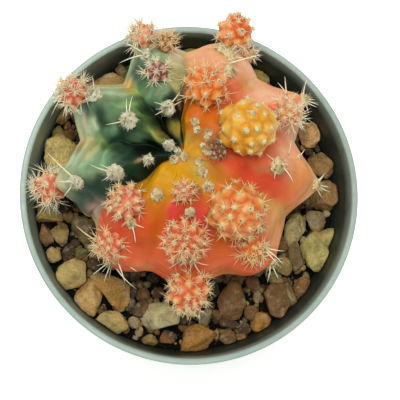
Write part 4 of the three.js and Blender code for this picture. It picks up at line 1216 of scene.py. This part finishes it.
# %% Build the heads
def head_material(name, colours):
    peak, body, crease, underside, other = (linear(code) for code in colours)
    skin = flesh_finish(name + "_skin", Specular_IOR_Level=0.4, Subsurface_Weight=0.2,
                        Subsurface_Scale=0.002, Coat_Weight=0.03)
    height = skin.attribute("height")
    low = skin.attribute("lowness")
    clouds = skin.noise(330.0, 4.0, 0.6)
    uneven = skin.mix(skin.ramp(skin.attribute("tone"), 0.45, 0.8), body, other)
    # Painted shade: the crease colour where the surface dips between tubercles, partly the flesh's own
    # deeper tone.
    base = skin.mix(skin.ramp(height, 0.1, 0.5), crease, uneven)
    # Painted highlight: the peak colour on the tubercle tops, partly their own paler tips.
    tipped = skin.mix(skin.ramp(height, 0.6, 1.0, 0.0, 0.85), base, peak)
    under = skin.mix(skin.ramp(low, 0.45, 0.9, 0.0, 0.75), tipped, underside)
    patchy = skin.mix(skin.ramp(clouds, 0.5, 0.68, 0.0, 0.5), under, crease)
    # Random patches of the peak colour, painted as lit spots.
    lit = skin.mix(skin.ramp(skin.noise(240.0, 3.0), 0.52, 0.7, 0.0, 0.55), patchy, peak)
    glow = skin.mix(0.3, lit, lit, "ADD")
    pores = skin.mix(skin.ramp(skin.cells(3200.0), 0.12, 0.24, 0.4, 0.0), lit, glow)
    wax = skin.bump(skin.noise(1300.0, 4.0), 0.00014, 0.6)
    gloss = skin.ramp(skin.noise(800.0, 3.0), 0.3, 0.7, 0.3, 0.5)
    return skin.done(Base_Color=pores, Roughness=gloss, Normal=wax)


head_skins = {name: head_material(name, colours) for name, colours in HEAD_FINISHES.items()}
heads = {}
for number, (name, rib, side, polar, radius, stand, around, rows, *rest) in enumerate(HEADS):
    spine, spines, finish = rest
    seat = stem_point(rib, side, math.radians(polar))
    axis = stem_normal(rib, side, math.radians(polar))
    centre = seat + axis * stand * radius
    upright = turned_upright(axis)
    grid = (64, 112) if radius > 4 else (44, 76)
    dip = 0.95 if radius > 6 else 0.88
    arrays = head_arrays(around, rows, radius, 100 + number, grid, dip)
    directions, reach, blend, tones, middles, tips = arrays
    points = (directions * reach[:, None]) @ upright.T + centre
    head = make_piece("head_" + name, points, *skin_faces(*grid),
                      {"height": blend, "lowness": (1 - directions[:, 2]) / 2, "tone": tones})
    finish_piece(head, head_skins[finish], SLOTS[name], "offset_" + name)
    heads[name] = {"centre": centre, "middles": middles @ upright.T, "tips": tips, "radius": radius,
                   "spine": spine, "spines": spines, "finish": finish}

# %% [markdown]
# ## Areoles and wool
# An areole is a small felt cushion that the spines grow from. On the ribs it is a knob of cream wool, up to
# 4 mm across near the crown. The knobs seen from above stand where the real ones do. Each cushion is a
# flattened bead with lumps, and short hairs stand out of it.

# %% Where the areoles are
# Rib, side of its edge, polar angle and radius of each knob of wool that shows from above
KNOBS = [
    (5, 0.31, 23, 1.45), (5, -0.25, 5, 1.15), (3, 0.69, 2, 0.9), (6, 0.12, 2, 0.95), (3, 0.3, 6, 1.35),
    (4, 0.12, 15, 1.25), (4, 0.31, 32, 2.0), (4, 0.19, 56, 1.8), (3, 0.19, 27, 2.0), (3, 0, 51, 1.75),
    (2, 0.25, 19, 1.8), (2, 0.19, 55, 1.5), (1, 0.12, 13, 1.15), (1, -0.38, 10, 1.0), (1, 0.12, 65, 1.7),
    (1, -0.31, 46, 1.6), (1, -0.1, 57, 1.9), (0, -0.5, 7, 0.95), (8, 0.06, 11, 1.2), (7, 0.56, 7, 1.1),
    (7, -0.06, 10.5, 1.15), (7, -0.44, 17, 1.4), (8, -0.06, 40, 1.9), (8, -0.06, 84, 1.4),
    (0, -0.06, 75, 1.5), (0, -0.38, 65, 1.3), (7, -0.06, 60, 1.5), (7, 0.19, 48, 1.3),
    (7, -0.06, 80, 1.3), (5, -0.25, 84, 1.2), (5, 0.28, 80, 1.2), (5, 0.22, 93, 1.2), (5, 0.12, 43, 1.1),
    (8, 0.5, 61, 0.7), (6, 0.1, 27, 1.2), (6, 0.1, 55, 1.1), (6, -0.2, 57, 0.9), (0, 0.5, 12, 1.0),
    (8, 0.3, 8.5, 1.1), (0, 0.1, 9.5, 0.75),
]
HIDDEN_ROWS = (92, 110)
HIDDEN_POLAR = 88
HIDDEN_SPACING = 3.5
HEAD_CLEARANCE = 1.2
HEAD_OVERLAP = 0.4


def taken_by_head(point, margin):
    """True where a point lies within some head's longest reach and the margin round it."""
    return any(np.linalg.norm(point - head["centre"]) < PEAK * head["radius"] + margin
               for head in heads.values())


def rib_areoles():
    """The knobs seen from above, then rows of smaller ones lower down, where nothing else is in the way."""
    hidden = [(rib, 0, polar, 1.1) for polar in HIDDEN_ROWS for rib in range(RIB_COUNT)]
    found = []
    for rib, side, polar, radius in KNOBS + hidden:
        place = stem_point(rib, side, math.radians(polar))
        place[:2] += skin_shift(rib + side / 2, polar)
        unseen = polar > HIDDEN_POLAR
        crowded = unseen and any(np.linalg.norm(place - other[1]) < HIDDEN_SPACING for other in found)
        if not crowded and not taken_by_head(place, HEAD_CLEARANCE if unseen else -HEAD_OVERLAP):
            found.append((polar, place, stem_normal(rib, side, math.radians(polar)), radius, rib))
    return found


areoles = rib_areoles()
print(len(areoles), "areoles on the stem")


# %% What is outside the stem
def outside_stem(points, margin):
    """True where a point stands off the nearest place of the stem's skin by more than the margin."""
    skin = stem_points[1:1 + stem_normals.size // 3][::5]
    outward = stem_normals.reshape(-1, 3)[::5]
    clear = np.zeros(len(points), bool)
    for start in range(0, len(points), 400):
        part = points[start:start + 400]
        gaps = ((part[:, None] - skin[None]) ** 2).sum(-1)
        near = gaps.argmin(axis=1)
        clear[start:start + 400] = ((part - skin[near]) * outward[near]).sum(-1) > margin
    return clear


def outside_heads(points, owner, margin):
    """True where a point is clear of every head but its owner."""
    clear = np.ones(len(points), bool)
    for name, head in heads.items():
        if name != owner:
            clear &= np.linalg.norm(points - head["centre"], axis=1) > head["radius"] * 0.98 + margin
    return clear


# %% Wool cushions
def cushion_arrays(places, normals, radii, seed, rows, columns):
    """Flattened beads standing on their places: unit directions on a small grid times radius, squashed
    along the normal, each point moved out or in by noise so that the cushion is lumpy."""
    bead = globe(rows, columns)
    first, second = across(normals)
    shape = (first[:, None] * bead[None, :, :1] + second[:, None] * bead[None, :, 1:2]
             + 0.66 * normals[:, None] * bead[None, :, 2:])
    points = places[:, None] + shape * radii[:, None, None]
    flat = points.reshape(-1, 3)
    lumps = 0.19 * ripple(flat, 0.9, seed) + 0.11 * ripple(flat, 0.4, seed + 7)
    points = points + shape * (radii[:, None] * lumps.reshape(points.shape[:2]))[..., None]
    return points.reshape(-1, 3), *repeated(skin_faces(rows, columns), len(places), len(bead))


def needle_arrays(roots, directions, lengths, radii, bends, sides, rings):
    """Tapered needles. Ring k of a needle lies at share t = k / rings of its length, moved aside by its
    bend times the square of t, and its radius shrinks as 1 - 0.85 t. A last point closes it."""
    count = len(roots)
    share = np.arange(rings) / rings
    first, second = across(directions)
    turn = circle(sides)
    spoke = first[:, None] * turn[None, :, :1] + second[:, None] * turn[None, :, 1:]
    line = (roots[:, None] + directions[:, None] * (lengths[:, None] * share)[..., None]
            + bends[:, None] * (share ** 2)[None, :, None])
    width = radii[:, None] * (1 - 0.85 * share)
    rows = line[:, :, None] + spoke[:, None] * width[..., None, None]
    tips = roots + directions * lengths[:, None] + bends
    points = np.concatenate([rows.reshape(count, -1, 3), tips[:, None]], 1)
    stride = sides * rings + 1
    ring, side = np.meshgrid(np.arange(rings - 1), np.arange(sides), indexing="ij")
    here, beside = ring * sides + side, ring * sides + (side + 1) % sides
    quads = np.stack([here, beside, beside + sides, here + sides], -1).reshape(-1, 4)
    last = (rings - 1) * sides
    around = np.arange(sides)
    cap = np.stack([last + around, last + (around + 1) % sides, np.full(sides, stride - 1)], -1)
    foot = np.stack([np.zeros(sides - 2, int), np.arange(2, sides), np.arange(1, sides - 1)], -1)
    triangles = np.concatenate([cap, foot])
    along = np.tile(np.append(np.repeat(share, sides), 1.0), count)
    return points.reshape(-1, 3), *repeated((quads, triangles), count, stride), along


def tilted(normals, tilt, turn):
    """Directions that lean from each normal by tilt, towards a turn about it."""
    first, second = across(normals)
    aside = first * np.cos(turn)[:, None] + second * np.sin(turn)[:, None]
    return normals * np.cos(tilt)[:, None] + aside * np.sin(tilt)[:, None]


def hair_arrays(places, normals, radii, per_cushion, seed):
    """Short curly hairs that stand out of each cushion all round."""
    draw = np.random.default_rng(seed)
    count = len(places) * per_cushion
    place = np.repeat(places, per_cushion, axis=0)
    normal = np.repeat(normals, per_cushion, axis=0)
    radius = np.repeat(radii, per_cushion)
    direction = tilted(normal, draw.uniform(0.1, 1.7, count), draw.uniform(0, 2 * np.pi, count))
    root = place + direction * (0.7 * radius)[:, None]
    length = radius * draw.uniform(0.35, 0.8, count)
    bend = draw.normal(scale=0.35, size=(count, 3)) * length[:, None]
    return needle_arrays(root, direction, length, np.full(count, 0.06), bend, sides=3, rings=2)


# %% [markdown]
# Wool is matt, cream to straw, with patches of painted shade for its depths, and brown specks where spines
# are rooted. A sheen on its own socket gives the soft pale rim that fibres have.

# %% Wool finish
def wool_material(name, shade, light):
    wool = Finish(name, Roughness=0.95, Sheen_Weight=0.3, Sheen_Roughness=0.5)
    tone = wool.stain(linear(shade), light, wool.noise(800.0, 3.0), 0.35, 0.65)
    blush = wool.stain(tone, "#d0a27c", wool.noise(520.0, 3.0), 0.55, 0.75, 0.0, 0.25)
    # Painted shade: noise darkens patches as if they lay deep in the wool.
    depth = wool.stain(blush, "#a08860", wool.noise(1900.0, 3.0), 0.34, 0.46, 0.4, 0.0)
    holes = wool.stain(depth, "#5c4228", wool.cells(850.0), 0.15, 0.25, 0.9, 0.0)
    fluff = wool.bump(wool.noise(2600.0, 4.0, 0.7), 0.0003, 1.0)
    return wool.done(Base_Color=holes, Normal=fluff)


cream_wool = wool_material("cream_wool", "#cec79c", "#eae5c8")
straw_wool = wool_material("straw_wool", "#dac688", "#f5e3b0")
peach_wool = wool_material("peach_wool", "#e4c388", "#f5dda8")


def wool_piece(name, places, normals, radii, hairs, slot, seed, grid, wool):
    """Cushions and their hairs joined in one piece."""
    cushion, quads, triangles = cushion_arrays(places, normals, radii, seed, *grid)
    hair, hair_quads, hair_triangles, _ = hair_arrays(places, normals, radii, hairs, seed + 1)
    shift = len(cushion)
    piece = make_piece(name, np.concatenate([cushion, hair]), np.concatenate([quads, hair_quads + shift]),
                       np.concatenate([triangles, hair_triangles + shift]))
    finish_piece(piece, wool, slot)


polars, knob_places, knob_normals, knob_radii, knob_ribs = (np.array(part) for part in zip(*areoles))
stand = knob_places + 0.25 * knob_normals
pale = (knob_ribs > 1.4) & (knob_ribs < 4.5)
knob_groups = (("stem_wool", ~pale, 71, straw_wool), ("green_rib_wool", pale, 73, cream_wool))
for name, own, seed, wool in knob_groups:
    wool_piece(name, stand[own], knob_normals[own], knob_radii[own], 130, "stem_flesh", seed, (16, 28),
               wool)

# %% Wool on the heads
head_areoles = {}
for number, (name, head) in enumerate(heads.items()):
    normals = head["middles"]
    places = head["centre"] + normals * (head["tips"] - 0.05)[:, None]
    shown = outside_stem(places, 0.5) & outside_heads(places, name, 0.2)
    head_areoles[name] = (places[shown], normals[shown])
    size = 0.13 * head["radius"] ** 0.7 + 0.17
    draw = np.random.default_rng(300 + number)
    radii = size * draw.uniform(0.65, 1.2, shown.sum())
    wool = straw_wool if name in ("golden", "purple") else peach_wool
    wool_piece("wool_" + name, places[shown], normals[shown], radii, 10, SLOTS[name], 400 + number, (6, 12),
               wool)


# %% [markdown]
# ## Spines
# Each areole bears a star of thin spines, a little curved, that lean out over the flesh, with longer and
# wilder ones at the ends of the ribs. Spines that would cross flesh are left out, and none reaches beyond
# the room that the solids take up.

# %% Spine finish
def spine_material(name, tip, root, dark):
    spine = Finish(name, Roughness=0.4, IOR=1.5, Subsurface_Weight=0.3, Subsurface_Scale=0.0005)
    horn = spine.stain(linear(root), tip, spine.attribute("along"), 0.0, 0.55)
    varied = spine.stain(horn, dark, spine.attribute("tint"), 0.65, 1.0, 0.0, 0.6)
    flecks = spine.stain(varied, "#b58a5c", spine.noise(1800.0, 2.0), 0.55, 0.75, 0.0, 0.12)
    return spine.done(Base_Color=flecks, Normal=spine.bump(spine.noise(5000.0, 1.0), 0.00002, 0.5))


SPINE_SKINS = {
    "ivory": spine_material("ivory_spine", "#fbf5d8", "#e9dcae", "#e6c898"),
    "golden": spine_material("golden_spine", "#f6e6aa", "#e8c872", "#e0ac5c"),
    "peach": spine_material("peach_spine", "#fae4b4", "#efc488", "#e8b076"),
    "straw": spine_material("straw_spine", "#fff7da", "#eedcb0", "#e2bc90"),
    "chestnut": spine_material("chestnut_spine", "#b8916a", "#744432", "#532c22"),
}
HEAD_SPINES = {
    "golden": "golden", "amber": "golden", "apricot": "peach", "coral": "peach", "rose": "peach",
    "dusk": "peach", "tangerine": "straw", "red": "straw", "tan": "straw", "purple": "straw",
    "brown": "chestnut",
}
POT_CLEAR_HEIGHT = POT_TOP + 0.6
POT_CLEAR_RADIUS = 38.5
GRAVEL_CLEAR_HEIGHT = 66.0


def in_solids_room(points):
    """True inside the box that the solids take up."""
    low, high = np.array(cad_low) / MM, np.array(cad_high) / MM
    return ((points > low) & (points < high)).all(axis=1)


def within_reach(points):
    """True inside the solids' room, clear of the pot's rim and of the gravel."""
    reach = np.hypot(points[:, 0], points[:, 1])
    in_rim = (points[:, 2] < POT_CLEAR_HEIGHT) & (reach > POT_CLEAR_RADIUS)
    return in_solids_room(points) & ~in_rim & (points[:, 2] > GRAVEL_CLEAR_HEIGHT)


def spine_star(places, normals, lengths, counts, owner, draw, lean, thick, bend):
    """Spines of every areole together: even turns round the areole with some play, tilts within lean, then
    only those whose middle and tip are clear of flesh, pot and gravel."""
    total = int(counts.sum())
    place, normal = np.repeat(places, counts, axis=0), np.repeat(normals, counts, axis=0)
    length = np.repeat(lengths, counts) * draw.uniform(0.6, 1.25, total)
    first_turn = np.repeat(draw.uniform(0, 2 * np.pi, len(counts)), counts)
    order = np.concatenate([np.arange(count) for count in counts])
    turn = first_turn + (order + draw.uniform(-0.3, 0.3, total)) * 2 * np.pi / np.repeat(counts, counts)
    direction = tilted(normal, draw.uniform(*lean, total), turn)
    curve = draw.normal(scale=bend, size=(total, 3)) * length[:, None] + normal * (0.05 * length)[:, None]
    tip = place + direction * length[:, None] + curve
    middle = place + direction * (0.6 * length)[:, None] + 0.36 * curve
    clear = np.ones(total, bool)
    for points in (middle, tip):
        clear &= outside_stem(points, 0.1) & outside_heads(points, owner, 0.1) & within_reach(points)
    if owner:
        own = heads[owner]
        clear &= np.linalg.norm(tip - own["centre"], axis=1) > own["radius"]
    thickness = thick * draw.uniform(0.8, 1.2, clear.sum())
    return place[clear], direction[clear], length[clear], thickness, curve[clear]


def spine_piece(name, stars, skin, slot, sides, rings, seed):
    """All the stars of one piece as needles, with the share along each and a tint for each."""
    roots, directions, lengths, radii, bends = (np.concatenate(part) for part in zip(*stars))
    points, quads, triangles, along = needle_arrays(roots, directions, lengths, radii, bends, sides, rings)
    tint = np.repeat(np.random.default_rng(seed).random(len(roots)), len(points) // len(roots))
    piece = make_piece(name, points, quads, triangles, {"along": along, "tint": tint})
    finish_piece(piece, SPINE_SKINS[skin], slot)


# %% The stem's long spines
# Rib, side and polar angle of a root, then the compass direction, rise and length of each spine on it
LONG_SPINES = [
    ((3, 0.19, 27), (-161, 14, 6.3), (114, 26, 5.7), (94, 14, 6.1), (1, 28, 3.2), (-96, 17, 3.4)),
    ((2, 0.25, 19), (158, 20, 4.5), (-149, 19, 4.6), (21, 32, 4.4)),
    ((2, 0.12, 20), (41, 39, 4.8)),
    ((4, 0.31, 32), (-179, 9, 6.6), (158, 13, 4.4), (28, 18, 3.6), (-137, 7, 4.1)),
    ((4, 0.12, 15), (80, 47, 2.7), (-108, 23, 2.6)),
    ((3, 0, 51), (99, 11, 5.1), (-156, 8, 3.7), (171, 24, 3.0)),
    ((4, 0.19, 56), (142, 11, 10.6), (-166, 11, 5.1), (-136, 0, 5.3), (169, 21, 3.2)),
    ((2, 0.19, 55), (-171, 8, 7.6), (162, 28, 6.5), (-85, 22, 3.0)),
    ((1, 0.12, 65), (31, 49, 5.3), (0, 25, 4.7), (163, 24, 4.9)),
    ((1, -0.19, 50), (17, 6, 8.9), (-178, 31, 3.9), (-43, 16, 3.7)),
    ((1, -0.1, 57), (25, 30, 4.4), (-10, 20, 4.0), (60, 35, 4.2), (110, 30, 4.0), (160, 25, 4.2),
     (-70, 10, 3.6)),
    ((1, -0.19, 50), (-143, 16, 3.6)),
    ((0, 0.25, 66), (111, 41, 6.1), (132, 36, 5.1)),
    ((0, -0.06, 75), (99, 30, 6.0), (-20, 14, 4.4), (-37, 2, 4.0), (-54, -12, 3.6), (3, 22, 3.4)),
    ((0, -0.38, 65), (-58, 12, 5.0), (-59, 2, 3.8)),
    ((8, 0.5, 52), (85, 47, 5.5)),
    ((8, 0.06, 40), (-41, 17, 6.8), (154, 26, 4.5), (-108, 13, 4.6), (-16, 37, 3.4)),
    ((8, -0.06, 84), (50, 16, 4.0), (39, 0, 3.4), (-12, 20, 3.8), (-31, 0, 3.4), (-39, -15, 4.2),
     (-67, -17, 4.0)),
    ((7, -0.06, 60), (-89, 11, 5.8), (-54, 10, 6.4), (-48, 34, 5.6), (-25, 21, 6.0), (-32, 4, 6.9)),
    ((7, -0.06, 80), (-94, 0, 5.4), (-70, 0, 4.8)),
    ((7, 0.19, 48), (67, 41, 3.0), (-106, 17, 3.6)),
    ((5, -0.25, 84), (157, 15, 8.6), (157, 0, 4.0), (-126, -20, 3.2), (150, 0, 3.0), (-167, 0, 3.2)),
    ((5, 0.28, 80), (-36, 9, 6.6), (-69, 0, 6.6)),
    ((5, 0.22, 93), (-64, -7, 9.2), (-112, -22, 5.8), (-149, -10, 6.2)),
    ((5, 0.12, 43), (-74, 22, 5.6), (-74, 31, 4.2), (-22, 17, 3.6)),
    ((8, 0.5, 61), (44, 25, 3.0)),
    ((6, 0.1, 55), (-72, 24, 5.2), (-48, 22, 4.6), (-105, 24, 4.4)),
    ((6, -0.2, 57), (-140, 20, 4.4)),
]


def long_spines(draw):
    """Roots, directions and curves of the listed spines. Each bends a little to one side and droops."""
    listed = [(*root, *spine) for root, *spines in LONG_SPINES for spine in spines]
    rib, side, polar, compass, rise, length = (np.array(part, float) for part in zip(*listed))
    rib = rib.astype(int)
    roots = stem_point(rib, side, np.radians(polar))
    roots[:, :2] += skin_shift(rib + side / 2, polar)
    turn, lift = np.radians(compass), np.radians(rise + 8)
    direction = np.stack([np.cos(lift) * np.cos(turn), np.cos(lift) * np.sin(turn), np.sin(lift)], -1)
    aside = np.stack([-np.sin(turn), np.cos(turn), np.zeros(len(turn))], -1)
    bend = aside * (length * draw.normal(scale=0.14, size=len(length)))[:, None]
    bend[:, 2] -= 0.17 * length
    radius = 0.16 + 0.014 * length
    inside = in_solids_room(roots + direction * length[:, None] + bend)
    print(inside.sum(), "long spines stay within the solids' reach, of", len(inside))
    return tuple(part[inside] for part in (roots, direction, length, radius, bend))


# %% Spines on the stem
LARGE_KNOB = 1.15

draw = np.random.default_rng(505)
hidden = polars > HIDDEN_POLAR
counts = np.where(hidden, 8, np.where(knob_radii > LARGE_KNOB, 11, 5))
lengths = np.where(hidden, 4.2, np.where(knob_radii > LARGE_KNOB, 1.35 * knob_radii, 1.3))
short_spines = spine_star(knob_places, knob_normals, lengths, counts, None, draw, (0.5, 1.4), 0.11, 0.12)
spine_piece("stem_spines", [short_spines, long_spines(draw)], "ivory", "stem_flesh", 5, 7, 506)

# %% Spines on the heads
for number, (name, head) in enumerate(heads.items()):
    places, normals = head_areoles[name]
    draw = np.random.default_rng(600 + number)
    lengths = head["spine"] * draw.uniform(0.8, 1.2, len(places))
    counts = np.full(len(places), head["spines"])
    star = spine_star(places, normals, lengths, counts, name, draw, (0.5, 1.3), 0.1, 0.14)
    spine_piece("spines_" + name, [star], HEAD_SPINES[head["finish"]], SLOTS[name], 4, 3, 700 + number)
